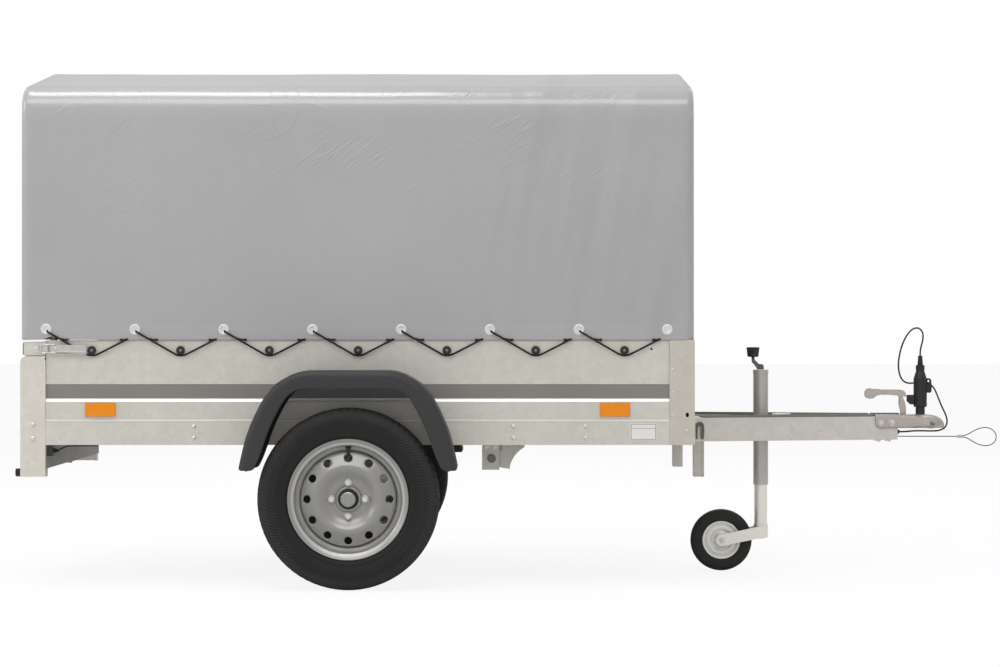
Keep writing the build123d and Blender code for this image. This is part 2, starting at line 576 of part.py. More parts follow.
# over-centre latch on each side, just forward of the tailgate's lug: a base on the board and a
# lever that widens from its pivot to its end; outline columns: forward of its rear, above its foot
LATCH_REAR = LUG_FRONT + MOVE_GAP
LATCH_LENGTH = 113.0
LATCH_DROP = 45.0              # latch's foot, below the box's rim
LATCH_BASE_LENGTH = 46.0
LATCH_BASE_DEPTH = 7.0
LATCH_DEPTH = 13.0
LATCH_BOTTOM = BOX_TOP - LATCH_DROP
LATCH_BASE = [(0.0, 4.0), (0.0, 31.0), (LATCH_BASE_LENGTH, 31.0), (LATCH_BASE_LENGTH, 4.0)]
LATCH_LEVER = [(6.0, 9.0), (6.0, 27.0), (60.0, 30.0), (LATCH_LENGTH, 26.0), (LATCH_LENGTH, 1.0), (70.0, 6.0)]
with BuildPart() as latches:
    for side, sign in SIDES:
        # columns: outline, distance out of the board, depth
        for outline, out, depth in (
            (LATCH_BASE, 0.0, LATCH_BASE_DEPTH),
            (LATCH_LEVER, LATCH_BASE_DEPTH, LATCH_DEPTH - LATCH_BASE_DEPTH),
        ):
            near_y = BOARD_Y + GAP + out
            with BuildSketch(Plane.XZ.offset(-(near_y + depth) if sign > 0 else near_y)):
                with BuildLine():
                    Polyline([(LATCH_REAR + x, LATCH_BOTTOM + z) for x, z in outline], close=True)
                make_face()
            extrude(amount=depth)
finish(latches.part, "latches")

REFLECTOR_INSET = 244.0        # reflector's middle, from the end of the box
REFLECTOR_PLACES = [BOX_REAR + REFLECTOR_INSET, BOX_FRONT - REFLECTOR_INSET]
REFLECTOR_LENGTH = 90.0
REFLECTOR_HEIGHT = 40.0
REFLECTOR_DEPTH = 6.0
REFLECTOR_ABOVE = 108.0
REFLECTOR_Z = BOX_BOTTOM + REFLECTOR_ABOVE
REFLECTOR_FACE_Y = WALL_Y - RAIL_STEP
with BuildPart() as side_reflectors:
    for side, sign in SIDES:
        for reflector_x in REFLECTOR_PLACES:
            with Locations((reflector_x, sign * (REFLECTOR_FACE_Y + GAP + REFLECTOR_DEPTH / 2), REFLECTOR_Z)):
                Box(REFLECTOR_LENGTH, REFLECTOR_DEPTH, REFLECTOR_HEIGHT)
finish(side_reflectors.part, "side_reflectors")

# lacing knobs on the boards, under the cover's hem
KNOB_COUNT = 7
KNOB_REAR_INSET = 219.0        # first knob, from the box's rear
KNOB_FRONT_INSET = 215.0       # last knob, from the box's front
KNOB_PITCH = (BOX_LENGTH - KNOB_REAR_INSET - KNOB_FRONT_INSET) / (KNOB_COUNT - 1)
KNOB_DROP = 31.0
KNOB_Z = BOX_TOP - KNOB_DROP
KNOB_RADIUS = 13.5
KNOB_STEM_RADIUS = 6.0
KNOB_STEM = 9.0
KNOB_HEAD = 6.0
with BuildPart() as lacing_knobs:
    for side, sign in SIDES:
        for index in range(KNOB_COUNT):
            knob_x = BOX_REAR + KNOB_REAR_INSET + index * KNOB_PITCH
            stem_y = sign * (BOARD_Y + GAP + (KNOB_STEM + 1.0) / 2)
            head_y = sign * (BOARD_Y + GAP + KNOB_STEM + KNOB_HEAD / 2)
            with Locations(Location((knob_x, stem_y, KNOB_Z), (90, 0, 0))):
                Cylinder(KNOB_STEM_RADIUS, KNOB_STEM + 1.0)
            with Locations(Location((knob_x, head_y, KNOB_Z), (90, 0, 0))):
                Cylinder(KNOB_RADIUS, KNOB_HEAD)
finish(lacing_knobs.part, "lacing_knobs")

# ---------------------------------------------------------------- axle
WHEEL_Y = TRACK / 2
ARM_INSET = 40.0
ARM_Y = HALF_WIDTH - ARM_INSET
with BuildPart() as axle_beam:
    with BuildSketch(Plane.XZ.offset(-ARM_Y + GAP)):
        with Locations((at(BEAM_FORWARD), BEAM_Z)):
            Rectangle(BEAM_SIZE, BEAM_SIZE)
            Rectangle(BEAM_SIZE - 2 * BEAM_WALL, BEAM_SIZE - 2 * BEAM_WALL, mode=Mode.SUBTRACT)
    extrude(amount=2 * (ARM_Y - GAP))
    for side, sign in SIDES:
        plate_inner_y = ARM_Y - AXLE_PLATE_INSET
        plate_y = sign * (plate_inner_y + WALL_Y) / 2
        with Locations((at(BEAM_FORWARD), plate_y, BOX_BOTTOM - GAP - AXLE_PLATE / 2)):
            Box(AXLE_PLATE_LENGTH, WALL_Y - plate_inner_y, AXLE_PLATE)
finish(axle_beam.part, "axle_beam")

# trailing arms with their spindles
HUB_INNER_Y = ARM_Y + ARM_THICKNESS + MOVE_GAP - 1.0
MOUNT_FACE_Y = WHEEL_Y + DISC_OFFSET
with BuildPart() as axle_arms:
    for side, sign in SIDES:
        face_offset = -(ARM_Y + ARM_THICKNESS) if sign > 0 else ARM_Y
        with BuildSketch(Plane.XZ.offset(face_offset)):
            with BuildLine():
                Line((at(BEAM_FORWARD), BEAM_Z), (AXLE_X, TYRE_RADIUS))
            trace(line_width=ARM_WIDTH)
            with Locations((at(BEAM_FORWARD), BEAM_Z), (AXLE_X, TYRE_RADIUS)):
                Circle(ARM_WIDTH / 2)
        extrude(amount=ARM_THICKNESS)
        spindle_from = ARM_Y + ARM_THICKNESS - 1.0
        spindle_to = MOUNT_FACE_Y + HUB_COLLAR - 4.0
        with Locations(Location((AXLE_X, sign * (spindle_from + spindle_to) / 2, TYRE_RADIUS), (90, 0, 0))):
            Cylinder(SPINDLE_RADIUS, spindle_to - spindle_from)
finish(axle_arms.part, "axle_arms")

# hub: body on the spindle, flange behind the disc, cap in front
HUB_FLANGE_Y = MOUNT_FACE_Y - HUB_FLANGE_THICKNESS
HUB_COLLAR_Y = MOUNT_FACE_Y + HUB_COLLAR
for side, sign in SIDES:
    with BuildPart() as hub:
        hub_plane = Plane(origin=(AXLE_X, 0, TYRE_RADIUS), x_dir=(1, 0, 0), z_dir=(0, 0, 1))
        with BuildSketch(hub_plane) as hub_section:
            with BuildLine():
                Polyline([
                    (SPINDLE_RADIUS + GAP, HUB_INNER_Y), (HUB_BODY_RADIUS + HUB_BODY_WALL, HUB_INNER_Y),
                    (HUB_BODY_RADIUS + HUB_BODY_WALL, HUB_FLANGE_Y - HUB_CONE_LENGTH),
                    (HUB_FLANGE_RADIUS, HUB_FLANGE_Y),
                    (HUB_FLANGE_RADIUS, MOUNT_FACE_Y - GAP), (HUB_BODY_RADIUS, MOUNT_FACE_Y - GAP),
                    (HUB_BODY_RADIUS, HUB_COLLAR_Y), (HUB_CAP_RADIUS, HUB_COLLAR_Y),
                    (HUB_CAP_RADIUS - HUB_CAP_TAPER, HUB_COLLAR_Y + HUB_CAP_LENGTH),
                    (0, HUB_COLLAR_Y + HUB_CAP_LENGTH),
                    (0, HUB_COLLAR_Y - 2.0), (SPINDLE_RADIUS + GAP, HUB_COLLAR_Y - 2.0),
                    (SPINDLE_RADIUS + GAP, HUB_INNER_Y),
                ])
            make_face()
            if sign < 0:
                mirror(about=Plane.XZ, mode=Mode.REPLACE)
        revolve(axis=Axis((AXLE_X, 0, TYRE_RADIUS), (0, 1, 0)))
    finish(hub.part, f"hub_{side}")

# rim and disc; section columns: radius, outboard of the wheel's middle
HALF_RIM = RIM_WIDTH_OVERALL / 2
RIM_SECTION = [
    (RIM_FLANGE_RADIUS, HALF_RIM), (BEAD_RADIUS, HALF_RIM - RIM_LIP_DEPTH),
    (BEAD_RADIUS - 1.0, HALF_RIM - BEAD_SEAT_WIDTH), (WELL_RADIUS, HALF_RIM - BEAD_SEAT_WIDTH - WELL_SLOPE),
    (WELL_RADIUS, WELL_INNER - HALF_RIM), (BEAD_RADIUS - 1.0, BEAD_SEAT_WIDTH - HALF_RIM),
    (BEAD_RADIUS, RIM_LIP_DEPTH - HALF_RIM), (RIM_FLANGE_RADIUS, -HALF_RIM),
]
DISC_SECTION = [
    (CENTRE_BORE_RADIUS, DISC_OFFSET), (DISC_HUB_RADIUS, DISC_OFFSET),
    (DISC_RIDGE_RADIUS - DISC_CREST_INNER, DISC_OFFSET + DISC_CREST),
    (DISC_RIDGE_RADIUS + DISC_CREST_OUTER, DISC_OFFSET + DISC_CREST + 1.0),
    (DISC_EDGE_RADIUS - 4.0, DISC_OFFSET - DISC_DIP),
    (WELL_RADIUS - RIM_SHEET + 1.0, DISC_OFFSET - DISC_FOOT),
]
for side, sign in SIDES:
    with BuildPart() as rim:
        for section, way in ((RIM_SECTION, Side.RIGHT), (DISC_SECTION, Side.LEFT)):
            with BuildSketch(Plane(origin=(AXLE_X, 0, TYRE_RADIUS), x_dir=(1, 0, 0), z_dir=(0, 0, 1))):
                with BuildLine():
                    Polyline([(r, WHEEL_Y + y) for r, y in section])
                    offset(amount=RIM_SHEET, side=way, kind=Kind.INTERSECTION)
                make_face()
                if sign < 0:
                    mirror(about=Plane.XZ, mode=Mode.REPLACE)
            revolve(axis=Axis((AXLE_X, 0, TYRE_RADIUS), (0, 1, 0)))
        with BuildSketch(Plane.XZ.offset(-sign * WHEEL_Y)):
            with Locations((AXLE_X, TYRE_RADIUS)):
                with PolarLocations(VENT_CIRCLE_RADIUS, VENT_COUNT, start_angle=90):
                    Circle(VENT_RADIUS)
                with PolarLocations(STUD_CIRCLE_RADIUS, STUD_COUNT, start_angle=45):
                    Circle(STUD_HOLE_RADIUS)
        extrude(amount=-sign * HALF_RIM, mode=Mode.SUBTRACT)
    finish(rim.part, f"rim_{side}")

# tyre: tread, shoulders, sidewalls and beads round a hollow; half-section columns: radius,
# distance off the tyre's middle
SHOULDER_RADIUS = TYRE_RADIUS - SHOULDER_DROP
SHOULDER_HALF = TREAD_HALF + SHOULDER_DROP
BULGE_RADIUS = (RIM_FLANGE_RADIUS + TYRE_RADIUS) / 2
BEAD_OUTER_RADIUS = RIM_FLANGE_RADIUS + 2.0
BEAD_SEAT_RADIUS = BEAD_RADIUS + TYRE_FIT
BEAD_FOLD = (RIM_FLANGE_RADIUS + 6.0, HALF_RIM - BEAD_TOE - 5.0)
TYRE_BEAD = [
    (BEAD_OUTER_RADIUS, HALF_RIM + 4.0), (BEAD_OUTER_RADIUS, HALF_RIM - BEAD_WIDTH),
    (BEAD_SEAT_RADIUS, HALF_RIM - BEAD_TOE), (BEAD_SEAT_RADIUS, HALF_RIM - 2 * BEAD_TOE), BEAD_FOLD,
]
LINER_EDGE = (SHOULDER_RADIUS - TYRE_WALL, TREAD_HALF - 4.0)
for side, sign in SIDES:
    with BuildPart() as tyre:
        with BuildSketch(Plane(origin=(AXLE_X, 0, TYRE_RADIUS), x_dir=(1, 0, 0), z_dir=(0, 0, 1))):
            with BuildLine():
                for way in (1, -1):
                    middle = sign * WHEEL_Y
                    tread_edge = (TYRE_RADIUS - TREAD_CROWN, middle + way * TREAD_HALF)
                    shoulder = (SHOULDER_RADIUS, middle + way * SHOULDER_HALF)
                    bead = [(r, middle + way * y) for r, y in TYRE_BEAD]
                    liner = (LINER_EDGE[0], middle + way * LINER_EDGE[1])
                    Polyline([(TYRE_RADIUS, middle), tread_edge, shoulder])
                    ThreePointArc(shoulder, (BULGE_RADIUS, middle + way * TYRE_WIDTH / 2), bead[0])
                    Polyline(bead)
                    bulge = (BULGE_RADIUS, middle + way * (TYRE_WIDTH / 2 - TYRE_WALL))
                    ThreePointArc(bead[-1], bulge, liner)
                    Line(liner, (LINER_EDGE[0] + 1.0, middle))
            make_face()
        revolve(axis=Axis((AXLE_X, 0, TYRE_RADIUS), (0, 1, 0)))
    finish(tyre.part, f"tyre_{side}")

# fenders: a channel over each wheel, its back flange against the side
FENDER_INNER_Y = WALL_Y + GAP


def fender_point(place, way, inset):
    """A point of a fender's outline on one side of the axle, moved in by its share of `inset`."""
    forward, drop, inset_x, inset_z = place
    return (at(way * (forward - inset_x * inset)), FENDER_TOP - drop - inset_z * inset)


def fender_outline(inset):
    """Closed outline of half-arch points both ways from the axle, drawn `inset` inside."""
    top = FENDER_TOP - inset
    for way in (-1, 1):
        shoulder = (at(way * FENDER_FLAT), top)
        haunch = fender_point(FENDER_HAUNCH, way, inset)
        foot = (at(way * (FENDER_REACH - inset)), FENDER_BOTTOM)
        Line((AXLE_X, top), shoulder)
        ThreePointArc(shoulder, fender_point(FENDER_BEND, way, inset), haunch)
        ThreePointArc(haunch, fender_point(FENDER_CHEEK, way, inset), foot)
        Line(foot, (AXLE_X, FENDER_BOTTOM))


with BuildPart() as fenders:
    for side, sign in SIDES:
        # columns: inset of the opening, distance out of the side, thickness
        for inset, out, depth in (
            (FENDER_SKIRT, 0.0, FENDER_SHEET),
            (FENDER_SHEET, 0.0, FENDER_DEPTH),
            (FENDER_SKIRT, FENDER_DEPTH - FENDER_SHEET, FENDER_SHEET),
        ):
            near_y = FENDER_INNER_Y + out
            with BuildSketch(Plane.XZ.offset(-(near_y + depth) if sign > 0 else near_y)):
                with BuildLine():
                    fender_outline(0.0)
                make_face()
                with BuildLine():
                    fender_outline(inset)
                make_face(mode=Mode.SUBTRACT)
            extrude(amount=depth)
finish(fenders.part, "fenders")

# ---------------------------------------------------------------- drawbar
EAR_OUTER_Y = PIVOT_SPREAD - EAR_INSET
GUSSET_TOP = DRAWBAR_BOTTOM + GUSSET_RISE
for side, sign in SIDES:
    rear_y = arm_spread(ARM_REAR_FORWARD)
    run = ARM_END_FORWARD - ARM_REAR_FORWARD
    length = math.hypot(run, rear_y - ARM_END_SPREAD)
    along = Vector(run, sign * (ARM_END_SPREAD - rear_y), 0).normalized()
    inward = Vector(0, 0, 1).cross(along) * -sign
    with BuildPart() as drawbar_arm:
        section_plane = Plane(origin=(at(ARM_REAR_FORWARD), sign * rear_y, DRAWBAR_BOTTOM),
                              x_dir=inward, z_dir=along)
        up = section_plane.y_dir.Z
        with BuildSketch(section_plane):
            with BuildLine():
                Polyline([
                    (ARM_FLANGE, 0), (0, 0), (0, up * DRAWBAR_HEIGHT), (ARM_FLANGE, up * DRAWBAR_HEIGHT),
                ])
                offset(amount=ARM_SHEET, side=Side.RIGHT if up > 0 else Side.LEFT, kind=Kind.INTERSECTION)
            make_face()
        extrude(amount=length)
        ear_face = -EAR_OUTER_Y if sign > 0 else EAR_OUTER_Y - EAR_THICKNESS
        with BuildSketch(Plane.XZ.offset(ear_face)):
            with BuildLine():
                Polyline([
                    (at(PIVOT_FORWARD), PIVOT_Z - EAR_HALF_HEIGHT),
                    (at(GUSSET_FOOT_FORWARD), PIVOT_Z - EAR_HALF_HEIGHT - GUSSET_FOOT_DROP),
                ])
                RadiusArc(
                    (at(GUSSET_FOOT_FORWARD), PIVOT_Z - EAR_HALF_HEIGHT - GUSSET_FOOT_DROP),
                    (at(GUSSET_FRONT_FORWARD), DRAWBAR_BOTTOM - GUSSET_DROP),
                    GUSSET_CURVE,
                )
                Polyline([
                    (at(GUSSET_FRONT_FORWARD), DRAWBAR_BOTTOM - GUSSET_DROP),
                    (at(GUSSET_FRONT_FORWARD), GUSSET_TOP),
                    (at(ARM_REAR_FORWARD), GUSSET_TOP),
                    (at(ARM_REAR_FORWARD), PIVOT_Z + EAR_HALF_HEIGHT),
                    (at(PIVOT_FORWARD), PIVOT_Z + EAR_HALF_HEIGHT),
                    (at(PIVOT_FORWARD), PIVOT_Z - EAR_HALF_HEIGHT),
                ])
            make_face()
            with Locations((at(PIVOT_FORWARD), PIVOT_Z)):
                Circle(EAR_HALF_HEIGHT)
                Circle(PIN_RADIUS + GAP, mode=Mode.SUBTRACT)
        extrude(amount=EAR_THICKNESS)
    finish(drawbar_arm.part, f"drawbar_arm_{side}")

# brackets under the frame: a plate each side of the arm's ear with a pin across them, and the
# block at the front that the drawbar's lock catches
with BuildPart() as frame_brackets:
    for side, sign in SIDES:
        inner_y = EAR_OUTER_Y - EAR_THICKNESS - CLEVIS_GAP - PLATE_THICKNESS
        outer_y = EAR_OUTER_Y + CLEVIS_GAP + PLATE_THICKNESS
        middle_x = at((BRACKET_REAR_FORWARD + BRACKET_FRONT_FORWARD) / 2)
        plate_length = BRACKET_FRONT_FORWARD - BRACKET_REAR_FORWARD
        with Locations((middle_x, sign * (inner_y + outer_y) / 2, BOX_BOTTOM - PLATE_THICKNESS / 2)):
            Box(plate_length, outer_y - inner_y, PLATE_THICKNESS)
        for plate_y in (inner_y + PLATE_THICKNESS / 2, outer_y - PLATE_THICKNESS / 2):
            with Locations((middle_x, sign * plate_y, (BRACKET_BOTTOM + BOX_BOTTOM) / 2)):
                Box(plate_length, PLATE_THICKNESS, BOX_BOTTOM - BRACKET_BOTTOM)
        with Locations(Location((at(PIVOT_FORWARD), sign * (inner_y + outer_y) / 2, PIVOT_Z), (90, 0, 0))):
            Cylinder(PIN_RADIUS, outer_y - inner_y + 2.0)
    with Locations((at(LOCK_BRACKET_FORWARD), 0, (LOCK_BRACKET_BOTTOM + BOX_BOTTOM - GAP) / 2)):
        Box(LOCK_BRACKET_LENGTH, LOCK_WIDTH, BOX_BOTTOM - GAP - LOCK_BRACKET_BOTTOM)
finish(frame_brackets.part, "frame_brackets")

# cross plates between the arms: columns: rear face forward of the axle, thickness
CROSS_PLATES = [
    (LOCK_PLATE_FORWARD, LOCK_PLATE_THICKNESS),
    (JOCKEY_FORWARD + JOCKEY_PLATE_AHEAD, END_PLATE_THICKNESS),
    (END_PLATE_FORWARD - END_PLATE_THICKNESS, END_PLATE_THICKNESS),
]
PLATE_HEIGHT = DRAWBAR_HEIGHT - 2 * ARM_SHEET - 2 * GAP
PLATE_BOTTOM = DRAWBAR_BOTTOM + ARM_SHEET + GAP
with BuildPart() as drawbar_plates:
    for forward, thickness in CROSS_PLATES:
        half = arm_spread(forward + thickness) - ARM_SHEET / math.cos(math.radians(ARM_ANGLE)) - GAP
        with Locations((at(forward + thickness / 2), 0, DRAWBAR_BOTTOM + DRAWBAR_HEIGHT / 2)):
            Box(thickness, 2 * half, PLATE_HEIGHT)
    lock_top = PLATE_BOTTOM + 1.0
    lock_middle = (LOCK_PLATE_BOTTOM + lock_top) / 2
    with Locations((at(LOCK_PLATE_FORWARD + LOCK_PLATE_THICKNESS / 2), 0, lock_middle)):
        Box(LOCK_PLATE_THICKNESS, LOCK_WIDTH, lock_top - LOCK_PLATE_BOTTOM)
finish(drawbar_plates.part, "drawbar_plates")

# coupling: pressed-steel head over the arms' ends, hollow below, with the ball's socket
def head_half(forward, inset):
    """Half-width of the head at a place, `inset` inside its outer face."""
    return arm_spread(forward) + COUPLING_SHEET + GAP - inset


HEAD_WAIST_FORWARD = ARM_END_FORWARD + 6.0
with BuildPart() as coupling:
    for inset, bottom, height, mode in (
        (0.0, COUPLING_BOTTOM, COUPLING_TOP - COUPLING_BOTTOM, Mode.ADD),
        (COUPLING_SHEET, COUPLING_BOTTOM, COUPLING_TOP - COUPLING_BOTTOM - COUPLING_SHEET, Mode.SUBTRACT),
    ):
        rear = COUPLING_REAR_FORWARD - (2.0 if inset else 0.0)
        with BuildSketch(Plane.XY.offset(bottom)):
            with BuildLine():
                Polyline([
                    (at(COUPLING_NECK_FORWARD), NECK_HALF - inset),
                    (at(HEAD_WAIST_FORWARD), head_half(HEAD_WAIST_FORWARD, inset)),
                    (at(rear), head_half(rear, inset)),
                    (at(rear), -head_half(rear, inset)),
                    (at(HEAD_WAIST_FORWARD), -head_half(HEAD_WAIST_FORWARD, inset)),
                    (at(COUPLING_NECK_FORWARD), -(NECK_HALF - inset)),
                ])
                ThreePointArc((at(COUPLING_NECK_FORWARD), -(NECK_HALF - inset)),
                              (at(NOSE_TO_AXLE - inset), 0),
                              (at(COUPLING_NECK_FORWARD), NECK_HALF - inset))
            make_face()
        extrude(amount=height, mode=mode)
    with Locations((at(BALL_FORWARD), 0, COUPLING_BOTTOM + (COUPLING_TOP - COUPLING_BOTTOM) / 2)):
        Cylinder(SOCKET_OUTER_RADIUS, COUPLING_TOP - COUPLING_BOTTOM)
    with Locations((at(BALL_FORWARD), 0, COUPLING_BOTTOM + SOCKET_DEPTH / 2)):
        Cylinder(BALL_BORE_RADIUS, SOCKET_DEPTH, mode=Mode.SUBTRACT)
    fillet(coupling.faces().sort_by(Axis.Z)[-1].edges(), 4.0)
finish(coupling.part, "coupling")

# coupling handle: stem out of the head and a lever laid back over it, with a thick tip
HANDLE_BEHIND = 134.0          # stem, behind the nose
HANDLE_HEIGHT = 71.5           # lever's middle at the stem, above the head
HANDLE_FALL = 2.5
HANDLE_LENGTH = 124.0
HANDLE_THICKNESS = 18.0
HANDLE_WIDTH = 20.0
HANDLE_BEND = 12.0
TIP_LENGTH = 33.0
TIP_HEIGHT = 35.0
TIP_WIDTH = 30.0
HANDLE_X = at(NOSE_TO_AXLE - HANDLE_BEHIND)
HANDLE_TOP_Z = COUPLING_TOP + HANDLE_HEIGHT
with BuildPart() as coupling_handle:
    with BuildLine() as handle_path:
        FilletPolyline([
            (HANDLE_X, 0, COUPLING_TOP + GAP), (HANDLE_X, 0, HANDLE_TOP_Z),
            (HANDLE_X - HANDLE_LENGTH, 0, HANDLE_TOP_Z - HANDLE_FALL),
        ], radius=HANDLE_BEND)
    with BuildSketch(Plane(origin=handle_path.wire() @ 0, z_dir=handle_path.wire() % 0)):
        Rectangle(HANDLE_THICKNESS, HANDLE_WIDTH)
    sweep(path=handle_path.wire(), transition=Transition.RIGHT)
    with Locations((HANDLE_X - HANDLE_LENGTH + TIP_LENGTH / 2 - 2.0, 0, HANDLE_TOP_Z - HANDLE_FALL - 1.0)):
        Box(TIP_LENGTH, TIP_WIDTH, TIP_HEIGHT)
finish(coupling_handle.part, "coupling_handle")

# plug holder on the head, with the parked plug standing in it
PLUG_BEHIND = 78.0
PLUG_FORWARD = NOSE_TO_AXLE - PLUG_BEHIND
PLUG_RADIUS = 21.75
PLUG_LIFT = 24.0               # plug's foot, above the head
PLUG_BODY = 94.0
PLUG_CONE = 24.0
PLUG_COLLAR = 18.0
PLUG_GLAND = 31.0
COLLAR_RADIUS = 13.5
GLAND_RADIUS = 9.0
GLAND_TIP_RADIUS = 6.0
HOLDER_RADIUS = 15.0
PLUG_BOTTOM = COUPLING_TOP + PLUG_LIFT
PLUG_SHOULDER = PLUG_BOTTOM + PLUG_BODY
PLUG_TOP = PLUG_SHOULDER + PLUG_CONE + PLUG_COLLAR
GLAND_TOP = PLUG_TOP + PLUG_GLAND
with BuildPart() as plug_holder:
    with Locations((at(PLUG_FORWARD), 0, COUPLING_TOP + GAP)):
        Cylinder(HOLDER_RADIUS, PLUG_LIFT - 2 * GAP, align=(Align.CENTER, Align.CENTER, Align.MIN))
finish(plug_holder.part, "plug_holder")

# plug: body, cone, collar and gland, with a locking lug behind and the lid's hinge in front;
# lug columns: distance off the plug's axis, length, foot above the plug's, height
PLUG_SECTION = [
    (0.0, PLUG_BOTTOM), (PLUG_RADIUS, PLUG_BOTTOM), (PLUG_RADIUS, PLUG_SHOULDER),
    (COLLAR_RADIUS, PLUG_SHOULDER + PLUG_CONE), (COLLAR_RADIUS, PLUG_TOP), (GLAND_RADIUS, PLUG_TOP),
    (GLAND_TIP_RADIUS, GLAND_TOP), (0.0, GLAND_TOP),
]
LUG_WIDTH = 16.0
PLUG_LUGS = [(-33.0, 24.0, 7.0, 32.0), (28.0, 18.0, 45.0, 49.0)]
with BuildPart() as plug:
    with BuildSketch(Plane.XZ):
        with BuildLine():
            Polyline([(at(PLUG_FORWARD) + r, z) for r, z in PLUG_SECTION], close=True)
        make_face()
    revolve(axis=Axis((at(PLUG_FORWARD), 0, 0), (0, 0, 1)))
    for off_axis, lug_length, foot, height in PLUG_LUGS:
        with Locations((at(PLUG_FORWARD) + off_axis, 0, PLUG_BOTTOM + foot + height / 2)):
            Box(lug_length, LUG_WIDTH, height)
finish(plug.part, "plug")

# ---------------------------------------------------------------- cords
LEAD_DIAMETER = 5.5
CABLE_DIAMETER = 3.0
GROMMET_RADIUS = 7.0
GROMMET_LENGTH = 8.0
CABLE_STOP_RADIUS = 4.0
CABLE_STOP_LENGTH = 6.0
FERRULE_AHEAD = 47.0           # ferrule's rear, ahead of the nose
FERRULE_LENGTH = 19.0
FERRULE_END = FERRULE_AHEAD + FERRULE_LENGTH
FERRULE_WIDTH = 11.0
FERRULE_THICKNESS = 6.0
STRAND_SPREAD = 2.5            # a strand's middle in the ferrule, off the cable's line
END_FACE = END_PLATE_FORWARD - NOSE_TO_AXLE
LEAD_START = END_FACE + GROMMET_LENGTH
CABLE_Y = 31.0
CABLE_LIFT = 8.0               # cable, above the drawbar's underside
# routes: columns: ahead of the nose, across, above the drawbar's underside
LEAD_ROUTE = [
    (LEAD_START, -24, 25),
    (-133, -24, 25), (-109, -36, 28), (-80, -46, 29), (-51, -48, 28),
    (-26, -47, 29), (-5, -46, 37), (4, -44, 57), (-1, -42, 80),
    (-12, -38, 103), (-21, -28, 128), (-27, -9, 151), (-33, 13, 170),
    (-50, 30, 184), (-74, 37, 187), (-98, 31, 181), (-121, 18, 182),
    (-138, 6, 194), (-147, -1, 216), (-150, -3, 241), (-147, -3, 268),
    (-141, -2, 294), (-132, -1, 319), (-119, 0, 342), (-103, 0, 359),
    (-84, 0, 363), (-70, 0, 350), (-68, 0, 329), (-73, 0, 308),
    (-78, 0, 290),
    (PLUG_FORWARD - NOSE_TO_AXLE, 0, GLAND_TOP - DRAWBAR_BOTTOM),
]
CABLE_ROUTE = [
    (END_FACE + CABLE_STOP_LENGTH, CABLE_Y, CABLE_LIFT),
    (FERRULE_AHEAD, CABLE_Y, CABLE_LIFT),
]
LOOP_ROUTE = [
    (FERRULE_END, CABLE_Y, CABLE_LIFT + STRAND_SPREAD), (76, CABLE_Y, CABLE_LIFT + STRAND_SPREAD),
    (104, CABLE_Y, 28), (132, CABLE_Y, 38), (159, CABLE_Y, 34), (176, CABLE_Y, 15), (173, CABLE_Y, -9),
    (153, CABLE_Y, -23), (126, CABLE_Y, -22), (101, CABLE_Y, -11),
    (76, CABLE_Y, CABLE_LIFT - STRAND_SPREAD), (FERRULE_END, CABLE_Y, CABLE_LIFT - STRAND_SPREAD),
]


def cord_place(point):
    """Row coordinates of a route's point."""
    ahead, across, above = point
    return (at(NOSE_TO_AXLE + ahead), across, DRAWBAR_BOTTOM + above)


def cord_radii(points):
    """Largest bend radius at each inner point of a route: 0.45 of the shorter run."""
    radii = []
    for before, corner, after in zip(points, points[1:], points[2:]):
        first = Vector(*corner) - Vector(*before)
        second = Vector(*after) - Vector(*corner)
        half_turn = math.radians(first.get_angle(second)) / 2
        radii.append(0.45 * min(first.length, second.length) / math.tan(half_turn))
    return radii


for label, diameter, route in (
    ("plug_lead", LEAD_DIAMETER, LEAD_ROUTE),
    ("safety_cable", CABLE_DIAMETER, CABLE_ROUTE),
    ("safety_cable_loop", CABLE_DIAMETER, LOOP_ROUTE),
):
    points = [cord_place(point) for point in route]
    radii = cord_radii(points)
    with BuildPart() as cord:
        with BuildLine() as cord_path:
            if radii:
                FilletPolyline(points, radius=radii)
            else:
                Line(*points)
        with BuildSketch(Plane(origin=points[0], z_dir=Vector(*points[1]) - Vector(*points[0]))):
            Circle(diameter / 2)
        sweep(path=cord_path.wire())
    finish(cord.part, label)
    length = cord_path.wire().length
    share = cord.part.volume / (math.pi * diameter**2 / 4 * length)
    tightest = f", tightest bend {min(radii) / diameter:.1f} diameters" if radii else ""
    print(f"{label}: length {length:.0f} mm{tightest}, volume over section times length {share:.4f}")

with BuildPart() as cord_fittings:
    # columns: route, radius, length
    for route, radius, length in (
        (LEAD_ROUTE, GROMMET_RADIUS, GROMMET_LENGTH),
        (CABLE_ROUTE, CABLE_STOP_RADIUS, CABLE_STOP_LENGTH),
    ):
        start = cord_place(route[0])
        with BuildSketch(Plane.YZ.offset(start[0] - length)):
            with Locations((start[1], start[2])):
                Circle(radius)
        extrude(amount=length)
finish(cord_fittings.part, "cord_fittings")

with BuildPart() as cable_ferrule:
    with BuildSketch(Plane.YZ.offset(at(NOSE_TO_AXLE + FERRULE_AHEAD))):
        with Locations((CABLE_Y, DRAWBAR_BOTTOM + CABLE_LIFT)):
            SlotOverall(FERRULE_WIDTH, FERRULE_THICKNESS, rotation=90)
    extrude(amount=FERRULE_LENGTH)
finish(cable_ferrule.part, "cable_ferrule")

